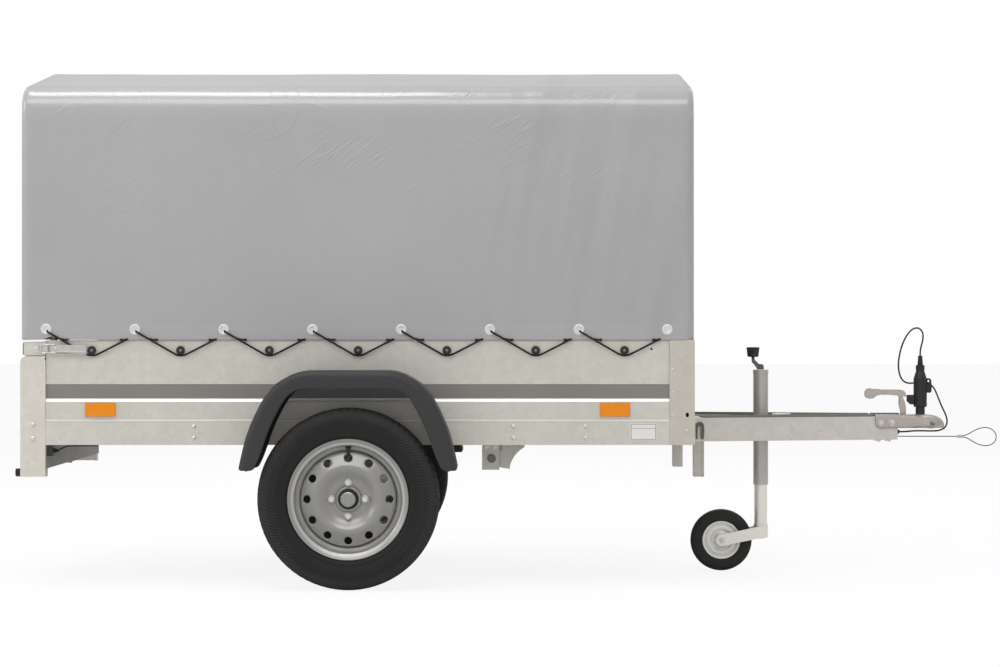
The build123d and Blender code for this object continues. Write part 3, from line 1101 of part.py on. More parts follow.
# ---------------------------------------------------------------- jockey wheel
JOCKEY_X = at(JOCKEY_FORWARD)
CLAMP_RADIUS = JOCKEY_TUBE_RADIUS + CLAMP_WALL
CLAMP_Z = DRAWBAR_BOTTOM + DRAWBAR_HEIGHT / 2
CLAMP_FOOT = JOCKEY_PLATE_AHEAD - GAP          # clamp's seat on the cross plate, ahead of the tube
FOOT_REAR = CLAMP_RADIUS - 1.7
with BuildPart() as jockey_clamp:
    with Locations((JOCKEY_X, 0, CLAMP_Z)):
        Cylinder(CLAMP_RADIUS, CLAMP_HEIGHT)
        Cylinder(JOCKEY_TUBE_RADIUS + GAP, CLAMP_HEIGHT, mode=Mode.SUBTRACT)
    with Locations((JOCKEY_X + (FOOT_REAR + CLAMP_FOOT) / 2, 0, CLAMP_Z)):
        Box(CLAMP_FOOT - FOOT_REAR, CLAMP_WIDTH, CLAMP_HEIGHT)
finish(jockey_clamp.part, "jockey_clamp")

with BuildPart() as jockey_tube:
    with BuildSketch(Plane.XY.offset(JOCKEY_TUBE_BOTTOM)):
        with Locations((JOCKEY_X, 0)):
            Circle(JOCKEY_TUBE_RADIUS)
            Circle(JOCKEY_BORE_RADIUS, mode=Mode.SUBTRACT)
    extrude(amount=JOCKEY_TUBE_LENGTH)
    with Locations((JOCKEY_X, 0, JOCKEY_TUBE_TOP)):
        Cylinder(JOCKEY_TUBE_RADIUS + 1.0, JOCKEY_CAP_HEIGHT, align=(Align.CENTER, Align.CENTER, Align.MIN))
finish(jockey_tube.part, "jockey_tube")

# crank: cap on the spindle, slanted arm and a grip standing on the arm's end
CRANK_FOOT_Z = JOCKEY_TUBE_TOP + JOCKEY_CAP_HEIGHT + GAP
CRANK_Z = CRANK_FOOT_Z + CRANK_WIDTH / 2 + 1.0
GRIP_X = JOCKEY_X - CRANK_REACH
with BuildPart() as jockey_crank:
    with BuildSketch(Plane.XZ.offset(-CRANK_DEPTH / 2)):
        with BuildLine():
            Line((JOCKEY_X, CRANK_Z), (GRIP_X, CRANK_Z + CRANK_RISE))
        trace(line_width=CRANK_WIDTH)
    extrude(amount=CRANK_DEPTH)
    with Locations((JOCKEY_X, 0, CRANK_FOOT_Z)):
        Cylinder(SPINDLE_CAP_RADIUS, SPINDLE_CAP_HEIGHT, align=(Align.CENTER, Align.CENTER, Align.MIN))
    with BuildSketch(Plane.XY.offset(CRANK_Z + CRANK_RISE + 4.0)):
        with Locations((GRIP_X, 0)):
            Circle(GRIP_RADIUS)
    extrude(amount=GRIP_HEIGHT, taper=-5)
finish(jockey_crank.part, "jockey_crank")

INNER_TUBE_BOTTOM = CROWN_TOP + GAP
SPIGOT_BOTTOM = CROWN_BOTTOM - SPIGOT_BELOW
with BuildPart() as jockey_inner_tube:
    with BuildSketch(Plane.XY.offset(INNER_TUBE_BOTTOM)):
        with Locations((JOCKEY_X, 0)):
            Circle(INNER_TUBE_RADIUS)
            Circle(SPIGOT_RADIUS - SPIGOT_WALL, mode=Mode.SUBTRACT)
    extrude(amount=INNER_TUBE_LENGTH)
    with Locations((JOCKEY_X, 0, SPIGOT_BOTTOM)):
        spigot_length = INNER_TUBE_BOTTOM + 1.0 - SPIGOT_BOTTOM
        Cylinder(SPIGOT_RADIUS, spigot_length, align=(Align.CENTER, Align.CENTER, Align.MIN))
finish(jockey_inner_tube.part, "jockey_inner_tube")

# fork: crown on the spigot and two cheeks trailing to the wheel's axle
WHEEL_X = JOCKEY_X - JOCKEY_TRAIL
CHEEK_Y = JOCKEY_WHEEL_WIDTH / 2 + CHEEK_GAP
with BuildPart() as jockey_fork:
    with Locations((JOCKEY_X, 0, CROWN_BOTTOM)):
        Cylinder(CROWN_RADIUS, CROWN_TOP - CROWN_BOTTOM, align=(Align.CENTER, Align.CENTER, Align.MIN))
    with Locations((JOCKEY_X, 0, (CROWN_BOTTOM + CROWN_TOP) / 2)):
        Box(20.0, 2 * (CHEEK_Y + 1.0), CROWN_TOP - CROWN_BOTTOM - 6.0)
    for side, sign in SIDES:
        with BuildSketch(Plane.XZ.offset(-(CHEEK_Y + FORK_SHEET) if sign > 0 else CHEEK_Y)):
            with BuildLine():
                Line((JOCKEY_X + 6.0, (CROWN_BOTTOM + CROWN_TOP) / 2), (WHEEL_X, JOCKEY_WHEEL_RADIUS))
            trace(line_width=FORK_HEIGHT)
            with Locations((WHEEL_X, JOCKEY_WHEEL_RADIUS)):
                Circle(FORK_HEIGHT / 2)
        extrude(amount=FORK_SHEET)
    with Locations(Location((WHEEL_X, 0, JOCKEY_WHEEL_RADIUS), (90, 0, 0))):
        Cylinder(JOCKEY_AXLE_RADIUS, 2 * CHEEK_Y + 2.0)
    with Locations((JOCKEY_X, 0, SPIGOT_BOTTOM)):
        Cylinder(SPIGOT_RADIUS + GAP, CROWN_TOP + 1.0 - SPIGOT_BOTTOM,
                 align=(Align.CENTER, Align.CENTER, Align.MIN), mode=Mode.SUBTRACT)
finish(jockey_fork.part, "jockey_fork")

JOCKEY_RIM_WIDTH = 34.0
JOCKEY_BOSS_RADIUS = 16.0
JOCKEY_BOSS_WIDTH = 2 * (CHEEK_Y - 4.0)
JOCKEY_TREAD_WIDTH = JOCKEY_WHEEL_WIDTH - 4.0
JOCKEY_SHOULDER_RADIUS = 14.0
with BuildPart() as jockey_rim:
    with Locations(Location((WHEEL_X, 0, JOCKEY_WHEEL_RADIUS), (90, 0, 0))):
        Cylinder(JOCKEY_RIM_RADIUS, JOCKEY_RIM_WIDTH)
        Cylinder(JOCKEY_BOSS_RADIUS, JOCKEY_BOSS_WIDTH)
        Cylinder(JOCKEY_AXLE_RADIUS + GAP, JOCKEY_BOSS_WIDTH, mode=Mode.SUBTRACT)
finish(jockey_rim.part, "jockey_rim")

with BuildPart() as jockey_tyre:
    with Locations(Location((WHEEL_X, 0, JOCKEY_WHEEL_RADIUS), (90, 0, 0))):
        Cylinder(JOCKEY_WHEEL_RADIUS, JOCKEY_TREAD_WIDTH)
        Cylinder(JOCKEY_RIM_RADIUS + GAP, JOCKEY_WHEEL_WIDTH, mode=Mode.SUBTRACT)
    tread_edges = jockey_tyre.edges().filter_by(GeomType.CIRCLE).sort_by(lambda e: e.radius)[-2:]
    fillet(tread_edges, JOCKEY_SHOULDER_RADIUS)
finish(jockey_tyre.part, "jockey_tyre")
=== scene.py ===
# %% [markdown]
# # A tipping box trailer under a tarpaulin
# This lesson dresses a packed trailer. The frame brings every rigid piece at its real size, and each
# cell adds a finish, or a piece that the plain solids lack. Blender works in metres here: +X runs
# forward to the coupling, +Y is the trailer's left, +Z is up and the ground is at zero.

# %% Load the frame
from itertools import product
from math import atan2, cos, exp, pi, radians, sin, sqrt, tan

import bmesh
import bpy
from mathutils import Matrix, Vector, noise


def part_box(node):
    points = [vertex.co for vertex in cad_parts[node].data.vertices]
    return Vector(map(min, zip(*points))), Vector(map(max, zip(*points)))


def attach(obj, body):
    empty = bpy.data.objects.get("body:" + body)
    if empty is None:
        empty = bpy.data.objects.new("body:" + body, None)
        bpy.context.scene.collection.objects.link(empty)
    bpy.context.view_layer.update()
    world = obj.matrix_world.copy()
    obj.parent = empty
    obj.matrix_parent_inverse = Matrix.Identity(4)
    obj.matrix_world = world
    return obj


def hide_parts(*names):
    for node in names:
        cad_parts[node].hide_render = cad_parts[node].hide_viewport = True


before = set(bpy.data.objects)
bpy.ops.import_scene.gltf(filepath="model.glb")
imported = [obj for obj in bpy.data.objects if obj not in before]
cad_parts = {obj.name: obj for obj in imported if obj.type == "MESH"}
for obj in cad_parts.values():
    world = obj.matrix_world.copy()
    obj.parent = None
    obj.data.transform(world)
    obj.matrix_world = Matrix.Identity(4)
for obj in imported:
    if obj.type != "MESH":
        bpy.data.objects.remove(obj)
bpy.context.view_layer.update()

MM = 0.001
SIDES = ((-1, "right"), (1, "left"))
tyre_low, tyre_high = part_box("tyre_right")
AXLE_X = (tyre_low.x + tyre_high.x) / 2
TYRE_RADIUS = (tyre_high.x - tyre_low.x) / 2
panel_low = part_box("side_panel_right")[0]
cover_low, cover_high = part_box("cover")
REAR, FRONT, HALF = cover_low.x, cover_high.x, cover_high.y


def place(forward, across, height):
    """A point from millimetres forward of the axle, to the left of the middle, and up."""
    return Vector((AXLE_X + forward * MM, across * MM, height * MM))


# %% [markdown]
# ## The camera
# A catalogue view looks level and square at the side. With a level camera every upright stays
# upright, and a long lens from 8.4 m leaves only a little difference in scale between the near
# side and the far one, which is how such pictures are taken.

# %% Camera
CAMERA_FORWARD = 455             # millimetres forward of the axle
CAMERA_HEIGHT = 770.5
CAMERA_DISTANCE = 8400           # from the box's near side
FOCAL_PIXELS = 2751              # focal length in pixels of a frame 1000 wide
FRAME_PIXELS = 1000
SENSOR = 36

camera_data = bpy.data.cameras.new("camera")
camera_data.sensor_width = SENSOR
camera_data.lens = SENSOR * FOCAL_PIXELS / FRAME_PIXELS
camera = bpy.data.objects.new("camera", camera_data)
camera.location = place(CAMERA_FORWARD, -HALF / MM - CAMERA_DISTANCE, CAMERA_HEIGHT)
camera.rotation_euler = (radians(90), 0, 0)
bpy.context.scene.collection.objects.link(camera)
bpy.context.scene.camera = camera
print("camera at", [round(v, 3) for v in camera.location], "lens", round(camera_data.lens, 1))

# %% [markdown]
# ## Tools for making things
# Nearly every piece below is a mesh with a finish that rides on a body, or a curve with a round
# section, so a few short helpers do that part. Shading is smooth except across sharp edges, which
# is what makes pressed sheet look pressed and not faceted.

# %% Making pieces
finishes = {}


def add_piece(name, data, finish, body, sharp=35):
    """Link an object for `data`, give it a finish and make it ride on a body."""
    piece = bpy.data.objects.new(name, data)
    bpy.context.scene.collection.objects.link(piece)
    if isinstance(data, bpy.types.Mesh):
        data.polygons.foreach_set("use_smooth", [True] * len(data.polygons))
        data.set_sharp_from_angle(angle=radians(sharp))
    data.materials.append(finishes.get(finish))
    piece["finish"] = finish
    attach(piece, body)
    return piece


def add_mesh(name, shape, finish, body, sharp=35, weld=0, sheet=0):
    """Make a piece of a bmesh; points within `weld` become one, and `sheet` is a thickness inwards."""
    if weld:
        bmesh.ops.remove_doubles(shape, verts=shape.verts, dist=weld)
    bmesh.ops.recalc_face_normals(shape, faces=shape.faces)
    data = bpy.data.meshes.new(name)
    shape.to_mesh(data)
    shape.free()
    piece = add_piece(name, data, finish, body, sharp)
    if sheet:
        thickness = piece.modifiers.new("sheet", "SOLIDIFY")
        thickness.thickness, thickness.offset = sheet, -1
    return piece


def add_curve(name, runs, radius, finish, body, turns=4, steps=6):
    """Round cords along NURBS curves, one near the points of each run.

    The bevel is 1 m deep and each point carries the real radius as its share of it, because the
    bounds of a curve count the radius of its points in metres.
    """
    data = bpy.data.curves.new(name, "CURVE")
    data.dimensions = "3D"
    data.bevel_depth = 1
    data.bevel_resolution, data.resolution_u = turns, steps
    data.use_fill_caps = True
    for run in runs:
        spline = data.splines.new("NURBS")
        spline.points.add(len(run) - 1)
        for control, point in zip(spline.points, run):
            control.co = (*point, 1)
            control.radius = radius
        spline.order_u = 3
        spline.use_endpoint_u = True
    return add_piece(name, data, finish, body)


def skin(shape, rows, closed=True):
    """Fill the faces between rows of points. Closed rows are rings, and a row of one point is a pole."""
    for first, second in zip(rows, rows[1:]):
        count = max(len(first), len(second))
        for k in range(count if closed else count - 1):
            after = (k + 1) % count
            if len(first) == 1:
                shape.faces.new((first[0], second[after], second[k]))
            elif len(second) == 1:
                shape.faces.new((first[k], first[after], second[0]))
            else:
                shape.faces.new((first[k], first[after], second[after], second[k]))


def lathe(shape, profile, origin, axis, count=32, across=None, scale=MM):
    """Turn a profile of (radius, distance), in millimetres, about an axis."""
    axis = Vector(axis).normalized()
    across = (across or axis.orthogonal()).normalized()
    third = axis.cross(across)
    rows = []
    for radius, distance in profile:
        centre = Vector(origin) + axis * distance * scale
        angles = [2 * pi * k / count for k in range(count if radius else 1)]
        rows.append([shape.verts.new(centre + (across * cos(a) + third * sin(a)) * radius * scale)
                     for a in angles])
    skin(shape, rows)


def ramp(value):
    """A value held between nought and one."""
    return min(max(value, 0), 1)


def mirrored(half, shared=0):
    """A half section and its mirror image; the last `shared` points lie in the middle plane."""
    return half + [(radius, -out) for radius, out in reversed(half[:len(half) - shared])]


print("helpers ready")

# %% [markdown]
# ## The cords
# Two free cords leave the front cross plate: the lamp lead, which loops over the coupling into its
# parked plug, and the breakaway cable with its ferrule and loop. A NURBS curve near few control
# points gives the even, springy line of rubber or wire rope, while a curve through many points
# would look like bent wire. The points are the route of the solids, in millimetres.

# %% Cords
NOSE = 1900                      # the coupling's nose, forward of the axle
ARM_FOOT = 427                   # underside of the drawbar
LEAD_ROUTE = [
    (-150, -24, 25), (-133, -24, 25), (-109, -36, 28), (-80, -46, 29), (-51, -48, 28), (-26, -47, 29),
    (-5, -46, 37), (4, -44, 57), (-1, -42, 80), (-12, -38, 103), (-21, -28, 128), (-27, -9, 151),
    (-33, 13, 170), (-50, 30, 184), (-74, 37, 187), (-98, 31, 181), (-121, 18, 182), (-138, 6, 194),
    (-147, -1, 216), (-150, -3, 241), (-147, -3, 268), (-141, -2, 294), (-132, -1, 319), (-119, 0, 342),
    (-103, 0, 359), (-84, 0, 363), (-70, 0, 350), (-68, 0, 329), (-73, 0, 308), (-78, 0, 290),
    (-78, 0, 272),
]
CABLE_ROUTE = [(-152, 31, 8), (-110, 31, 8), (-55, 31, 8), (0, 31, 8), (47, 31, 8)]
LOOP_ROUTE = [
    (66, 31, 10.5), (76, 31, 10.5), (104, 31, 28), (132, 31, 38), (159, 31, 34), (176, 31, 15),
    (173, 31, -9), (153, 31, -23), (126, 31, -22), (101, 31, -11), (76, 31, 5.5), (66, 31, 5.5),
]


def route(points):
    """Route points in row metres, from millimetres ahead of the nose, across and above the arm's foot."""
    return [place(NOSE + x, y, ARM_FOOT + z) for x, y, z in points]


lead = add_curve("plug_lead_cord", [route(LEAD_ROUTE)], 2.75 * MM, "cord_rubber", "drawbar")
cable = add_curve("safety_cable_cord", [route(CABLE_ROUTE)], 1.5 * MM, "wire_rope", "drawbar")
loop = add_curve("safety_loop_cord", [route(LOOP_ROUTE)], 1.5 * MM, "wire_rope", "drawbar")
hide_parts("plug_lead")
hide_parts("safety_cable")
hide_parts("safety_cable_loop")
print("cords:", lead.name, cable.name, loop.name)

# %% [markdown]
# ## Floor and light
# The floor is a large pale plane that a camera sees almost white, so that only the soft shadow
# under the wheels shows. An even sky fills every side, and one wide soft lamp high in front draws
# the long gloss line on the rounded edge of the roof. Gloss has to come from a lamp and not from
# paint, because it must stay right from every side.

# %% Floor and light
bpy.context.scene.view_settings.view_transform = "Standard"
FLOOR_REACH = 60
floor_mesh = bpy.data.meshes.new("studio_floor")
floor_corners = [(x * FLOOR_REACH, y * FLOOR_REACH, 0) for x, y in ((-1, -1), (1, -1), (1, 1), (-1, 1))]
floor_mesh.from_pydata(floor_corners, [], [(0, 1, 2, 3)])
studio_floor = bpy.data.objects.new("studio_floor", floor_mesh)
bpy.context.scene.collection.objects.link(studio_floor)

SKY = 0.66
world = bpy.data.worlds.new("studio")
bpy.context.scene.world = world
world.use_nodes = True
sky_nodes, sky_links = world.node_tree.nodes, world.node_tree.links
sky_nodes.clear()
light_path = sky_nodes.new("ShaderNodeLightPath")
sky_light = sky_nodes.new("ShaderNodeBackground")
sky_light.inputs["Color"].default_value = (1, 0.995, 0.985, 1)
sky_light.inputs["Strength"].default_value = SKY
backdrop = sky_nodes.new("ShaderNodeBackground")
backdrop.inputs["Color"].default_value = (1, 1, 1, 1)
backdrop.inputs["Strength"].default_value = 1
seen = light_path.outputs["Is Camera Ray"]
for ray in ("Is Glossy Ray", "Is Transmission Ray"):
    either = sky_nodes.new("ShaderNodeMath")
    either.operation = "MAXIMUM"
    sky_links.new(seen, either.inputs[0])
    sky_links.new(light_path.outputs[ray], either.inputs[1])
    seen = either.outputs[0]
pick = sky_nodes.new("ShaderNodeMixShader")
sky_out = sky_nodes.new("ShaderNodeOutputWorld")
sky_links.new(seen, pick.inputs[0])
sky_links.new(sky_light.outputs[0], pick.inputs[1])
sky_links.new(backdrop.outputs[0], pick.inputs[2])
sky_links.new(pick.outputs[0], sky_out.inputs[0])


def add_lamp(name, location, aim, size, power):
    """A rectangular soft lamp that faces `aim`."""
    data = bpy.data.lights.new(name, "AREA")
    data.shape = "RECTANGLE"
    data.size, data.size_y = size
    data.energy = power
    lamp = bpy.data.objects.new(name, data)
    lamp.location = location
    lamp.rotation_euler = (Vector(aim) - Vector(location)).to_track_quat("-Z", "Y").to_euler()
    bpy.context.scene.collection.objects.link(lamp)


# columns: name, place, aim, size, power
LAMPS = [
    ("lamp_front", (-1, -5.2, 6), (-0.4, 0, 0.9), (7.5, 2.4), 168),
    ("lamp_top", (-1.4, -1.2, 6.4), (-1.3, -0.4, 1.5), (2.4, 1.7), 99),
    ("lamp_back", (0.6, 5.6, 5.2), (0, 0, 0.8), (6, 2), 106),
    ("lamp_rear", (-6.5, -2.2, 3.2), (-0.8, 0, 0.7), (2.4, 2.4), 76),
]
for row in LAMPS:
    add_lamp(*row)
print("lamps:", len(LAMPS), "sky", SKY)

# %% [markdown]
# ## Arithmetic for shaders
# A procedural finish is arithmetic on noise and position. Written as links between Math nodes it is
# hard to read, so a small class lets a node's output take part in ordinary expressions, and one
# method makes any other node from its type, its settings and its sockets.

# %% Shader arithmetic
def operation(kind, swapped=False):
    """A method that makes a Math node of one kind from a signal and another value."""
    def method(self, other):
        return self._math(kind, *((other, self) if swapped else (self, other)))
    return method


class Signal:
    """An output socket that can be added, multiplied and compared like a number."""

    def __init__(self, tree, socket):
        self.tree, self.socket = tree, socket

    def _math(self, operation, *values):
        node = self.tree.nodes.new("ShaderNodeMath")
        node.operation = operation
        for entry, value in zip(node.inputs, values):
            if isinstance(value, Signal):
                self.tree.links.new(value.socket, entry)
            else:
                entry.default_value = value
        return Signal(self.tree, node.outputs[0])

    def sine(self):
        return self._math("SINE", self)

    def clamp(self):
        return self._math("MINIMUM", self._math("MAXIMUM", self, 0), 1)

    def within(self, low, high):
        """One between two values and nought outside them."""
        return (self > low) * (self < high)

    __add__ = __radd__ = operation("ADD")
    __sub__, __rsub__ = operation("SUBTRACT"), operation("SUBTRACT", swapped=True)
    __mul__ = __rmul__ = operation("MULTIPLY")
    __truediv__, __pow__ = operation("DIVIDE"), operation("POWER")
    __gt__, __lt__ = operation("GREATER_THAN"), operation("LESS_THAN")


class Finish:
    """A material under construction, built from procedural nodes."""

    def __init__(self, name):
        self.material = bpy.data.materials.new(name)
        self.material.use_nodes = True
        self.tree = self.material.node_tree
        self.tree.nodes.clear()
        finishes[name] = self.material

    def node(self, kind, settings=None, sockets=None, output=0):
        """Make a node, set it up, and hand back one of its outputs."""
        node = self.tree.nodes.new(kind)
        for key, value in (settings or {}).items():
            setattr(node, key, value)
        for key, value in (sockets or {}).items():
            if isinstance(value, Signal):
                self.tree.links.new(value.socket, node.inputs[key])
            else:
                node.inputs[key].default_value = value
        return Signal(self.tree, node.outputs[output]) if len(node.outputs) else None

    def position(self):
        """Object coordinates, which are row metres at rest."""
        return self.node("ShaderNodeTexCoord", output=3)

    def axis(self, vector, output):
        return self.node("ShaderNodeSeparateXYZ", sockets={0: vector}, output=output)

    def stretched(self, x, y, z):
        """Coordinates scaled along each axis, so that a pattern runs along one of them."""
        return self.node("ShaderNodeMapping", sockets={"Vector": self.position(), "Scale": (x, y, z)})

    def noise(self, scale, detail=3, where=None, rough=0.5):
        return self.node("ShaderNodeTexNoise", sockets={
            "Vector": where or self.position(), "Scale": scale, "Detail": detail, "Roughness": rough})

    def cells(self, scale, where=None, output=0, feature="F1"):
        return self.node("ShaderNodeTexVoronoi", {"feature": feature},
                         {"Vector": where or self.position(), "Scale": scale}, output)

    def mix(self, amount, first, second):
        """A colour between two colours."""
        return self.node("ShaderNodeMix", {"data_type": "RGBA"}, {0: amount, 6: first, 7: second}, 2)

    def bump(self, height, distance, strength=1):
        return self.node("ShaderNodeBump", sockets={
            "Height": height, "Distance": distance, "Strength": strength})

    def close(self, colour, roughness, normal=None, **fixed):
        """Wire the Principled shader to the output; `fixed` are sockets set on it directly."""
        sockets = {"Base Color": colour, "Roughness": roughness}
        if normal is not None:
            sockets["Normal"] = normal
        sockets.update({key.replace("_", " "): value for key, value in fixed.items()})
        shader = self.node("ShaderNodeBsdfPrincipled", sockets=sockets)
        self.node("ShaderNodeOutputMaterial", sockets={"Surface": shader})
        return self.material


def srgb(red, green, blue):
    """A linear colour from the 0 to 255 values of a screen."""
    linear = [((v / 255 + 0.055) / 1.055) ** 2.4 if v > 10 else v / 255 / 12.92 for v in (red, green, blue)]
    return (*linear, 1)


def shaded(tone, factor):
    """A tone made darker or lighter."""
    return (*(min(v * factor, 1) for v in tone[:3]), 1)


print("shader tools ready")

# %% [markdown]
# ## Galvanised and plated steel
# Hot-dip zinc freezes in crystals, so a fresh sheet shows faint flat patches a centimetre or two
# across. Voronoi cells give each crystal its own tone, a slow noise adds the cloudy stains of
# handling, and both also move the roughness. The side boards have a grey painted band, which is a
# mask made from the height and the length, so it needs no image.

# %% Steel finishes
BAND_LOW, BAND_HIGH = 0.572, 0.616
BAND_REAR, BAND_FRONT = AXLE_X - 0.933, AXLE_X + 0.973


def zinc(name, tone, spangle, depth, roughness, metallic=0.55, band=False):
    """A zinc-coated steel: tone, crystals per metre, how far they vary, roughness."""
    finish = Finish(name)
    crystal = finish.cells(spangle, output=1)
    grain = finish.node("ShaderNodeSeparateColor", sockets={0: crystal})
    cloud = finish.noise(3.2, 5)
    speckle = finish.noise(420, 2)
    streak = finish.noise(1, 4, finish.stretched(26, 26, 2))
    shade = grain * depth + cloud * 0.26 + streak * 0.14 + speckle * 0.14 + 0.13
    colour = finish.mix((shade * 1.1 - 0.1).clamp(), shaded(tone, 0.8), shaded(tone, 1.13))
    rough = roughness + (grain - 0.5) * 0.1 + (cloud - 0.5) * 0.16
    gloss = metallic
    if band:
        place_on = finish.position()
        along, height = finish.axis(place_on, 0), finish.axis(place_on, 2)
        mask = along.within(BAND_REAR, BAND_FRONT) * height.within(BAND_LOW, BAND_HIGH)
        painted = finish.mix(cloud, srgb(112, 110, 106), srgb(126, 123, 118))
        colour = finish.mix(mask, colour, painted)
        # a near-white line along the board's ledge: painted highlight where the light catches the ledge
        edge = height.within(0.5625, 0.5715)
        colour = finish.mix(edge * 0.75, colour, srgb(250, 248, 242))
        gloss = metallic * (1 - mask)
    ripple = finish.noise(2.6, 2, finish.stretched(1, 1, 0.5))
    normal = finish.bump(ripple * 0.7 + speckle * 0.004 + grain * 0.006, 0.0035, 0.55)
    finish.close(colour, rough, normal, Metallic=gloss)


# columns: name, tone, crystals per metre, variation, roughness, metallic
ZINCS = [
    ("galvanised", srgb(199, 196, 188), 62, 0.22, 0.52, 0.42),
    ("galvanised_frame", srgb(196, 194, 186), 55, 0.26, 0.5, 0.45),
    # post_rear is a lighter and post_front a darker copy of the same zinc: painted light that falls off from
    # the rear towards the front
    ("post_rear", srgb(203, 199, 190), 62, 0.2, 0.52, 0.4),
    ("post_front", srgb(188, 183, 173), 62, 0.22, 0.52, 0.42),
    # a near-white zinc for painted highlights on ledges
    ("painted_edge_highlight", srgb(240, 238, 232), 62, 0.1, 0.5, 0.2),
    ("zinc_plate", srgb(186, 184, 179), 90, 0.14, 0.38, 0.65),
    # a dark zinc that also serves as painted shade on the light board, the lug slots and the arm lips
    ("dark_zinc_and_painted_shade", srgb(120, 116, 110), 70, 0.3, 0.5, 0.6),
    ("bolt_zinc", srgb(205, 203, 198), 120, 0.15, 0.32, 0.75),
    ("cap_steel", srgb(147, 145, 141), 120, 0.1, 0.28, 0.85),
    ("cast_zinc", srgb(177, 170, 164), 110, 0.12, 0.4, 0.6),
    ("lock_steel", srgb(96, 93, 88), 90, 0.3, 0.5, 0.55),
    ("jack_zinc", srgb(180, 177, 172), 90, 0.08, 0.4, 0.7),
    ("jack_bright", srgb(230, 227, 221), 90, 0.08, 0.38, 0.6),
]
for steel in ZINCS:
    zinc(*steel)
zinc("galvanised_band", srgb(197, 194, 186), 62, 0.22, 0.52, 0.42, band=True)
print("steel finishes:", len(ZINCS) + 1)

# %% [markdown]
# ## Plastics, rubber and paint
# Moulded plastic and rubber differ less in colour than in surface: the fender has a fine leather grain, tyres
# a matt black with dust and with painted light and shade on their flank ribs, lenses a clear coat over small
# prisms. One function covers the plain ones from a table, so their grain and roughness can be compared at a
# glance.

# %% Plain finishes
def moulded(name, tone, roughness, grain_scale, grain_depth, coat, metallic, spread, specular):
    """A finish of one tone with a fine grain and slow variation."""
    finish = Finish(name)
    grain = finish.noise(grain_scale, 3)
    cloud = finish.noise(6, 4)
    mix = (cloud * 0.8 + grain * 0.4 - 0.1).clamp()
    colour = finish.mix(mix, shaded(tone, 1 - spread), shaded(tone, 1 + spread))
    rough = roughness + (cloud - 0.5) * 0.18 + (grain - 0.5) * 0.08
    normal = finish.bump(grain, grain_depth)
    finish.close(colour, rough, normal, Metallic=metallic, Coat_Weight=coat, Coat_Roughness=0.12,
                 Specular_IOR_Level=specular)


# columns: name, tone, roughness, grain per metre, grain depth, coat, metallic, spread, specular
PLASTICS = [
    ("fender_plastic", srgb(50, 50, 51), 0.5, 900, 0.0003, 0, 0, 0.1, 0.25),
    ("black_plastic", srgb(30, 30, 31), 0.48, 700, 0.0002, 0, 0, 0.15, 0.35),
    ("black_rubber", srgb(43, 42, 41), 0.7, 500, 0.0003, 0, 0, 0.15, 0.2),
    ("cord_rubber", srgb(28, 28, 29), 0.45, 800, 0.0001, 0, 0, 0.1, 0.4),
    ("lacing_rope", srgb(34, 33, 33), 0.8, 900, 0.0008, 0, 0, 0.25, 0.2),
    ("grey_rim", srgb(226, 225, 220), 0.4, 300, 0.0002, 0.1, 0.25, 0.06, 0.5),
    ("label_film", srgb(214, 213, 210), 0.4, 300, 0.0001, 0.2, 0, 0.03, 0.5),
    ("hole_painted_shade", srgb(14, 14, 14), 0.9, 300, 0.0001, 0, 0, 0.1, 0.1),
    ("eyelet_metal", srgb(210, 209, 206), 0.3, 300, 0.0001, 0.1, 0.55, 0.05, 0.5),
]
for plastic in PLASTICS:
    moulded(*plastic)


def around_axle(finish):
    """Distances forward of and above the wheels' axle, and the radius they give."""
    where = finish.position()
    along, up = finish.axis(where, 0) - AXLE_X, finish.axis(where, 2) - TYRE_RADIUS
    return along, up, (along * along + up * up) ** 0.5


flank = Finish("tyre")
from_axle, from_hub, radius_here = around_axle(flank)
scuffed = ((radius_here - 0.236) * 60).clamp() * 0.62
rubber_cloud = flank.noise(7, 4)
rubber_grain = flank.noise(500, 2)
turn_here = flank.node("ShaderNodeMath", {"operation": "ARCTAN2"}, {0: from_hub, 1: from_axle})
sideways = from_axle * from_axle / (radius_here * radius_here)
# the flank ribs are also painted into the colour: the rib zone is darkened and the rib stripes lightened,
# painted light and shade on the ribs
rib_zone = radius_here.within(0.219, 0.257) * ((sideways - 0.42) * 14).clamp()
ribs = ((turn_here * 150 + radius_here * 360).sine() * 0.5 + 0.5) * rib_zone
dust_and_rib_shading = (scuffed + rubber_cloud * 0.3 + rubber_grain * 0.1 - 0.08 - rib_zone * 0.3
         + ribs * 0.95).clamp()
flank.close(flank.mix(dust_and_rib_shading, srgb(28, 27, 27), srgb(51, 49, 49)), 0.6 + dust_and_rib_shading * 0.18,
            flank.bump(rubber_grain * 0.3 + ribs, 0.0007), Specular_IOR_Level=0.17)

paint = Finish("wheel_paint")
paint_radius = around_axle(paint)[2]
# the outer channel between flange and disc is painted lighter: painted light that lifts the shade in the deep
# channel
channel_painted_light = ((paint_radius - 0.134) * 150).clamp() * ((0.174 - paint_radius) * 150).clamp()
paint_cloud = paint.noise(6, 4)
paint_grain = paint.noise(260, 3)
paint_tone = paint.mix((paint_cloud * 0.8 + paint_grain * 0.4 - 0.1).clamp(),
                       srgb(133, 132, 129), srgb(142, 141, 138))
paint.close(paint.mix(channel_painted_light * 0.9, paint_tone, srgb(174, 173, 170)),
            0.34 + (paint_cloud - 0.5) * 0.18 + (paint_grain - 0.5) * 0.08, paint.bump(paint_grain, 0.0002),
            Metallic=0.55, Coat_Weight=0.15, Coat_Roughness=0.12, Specular_IOR_Level=0.5)
print("plain finishes:", len(PLASTICS) + 2)

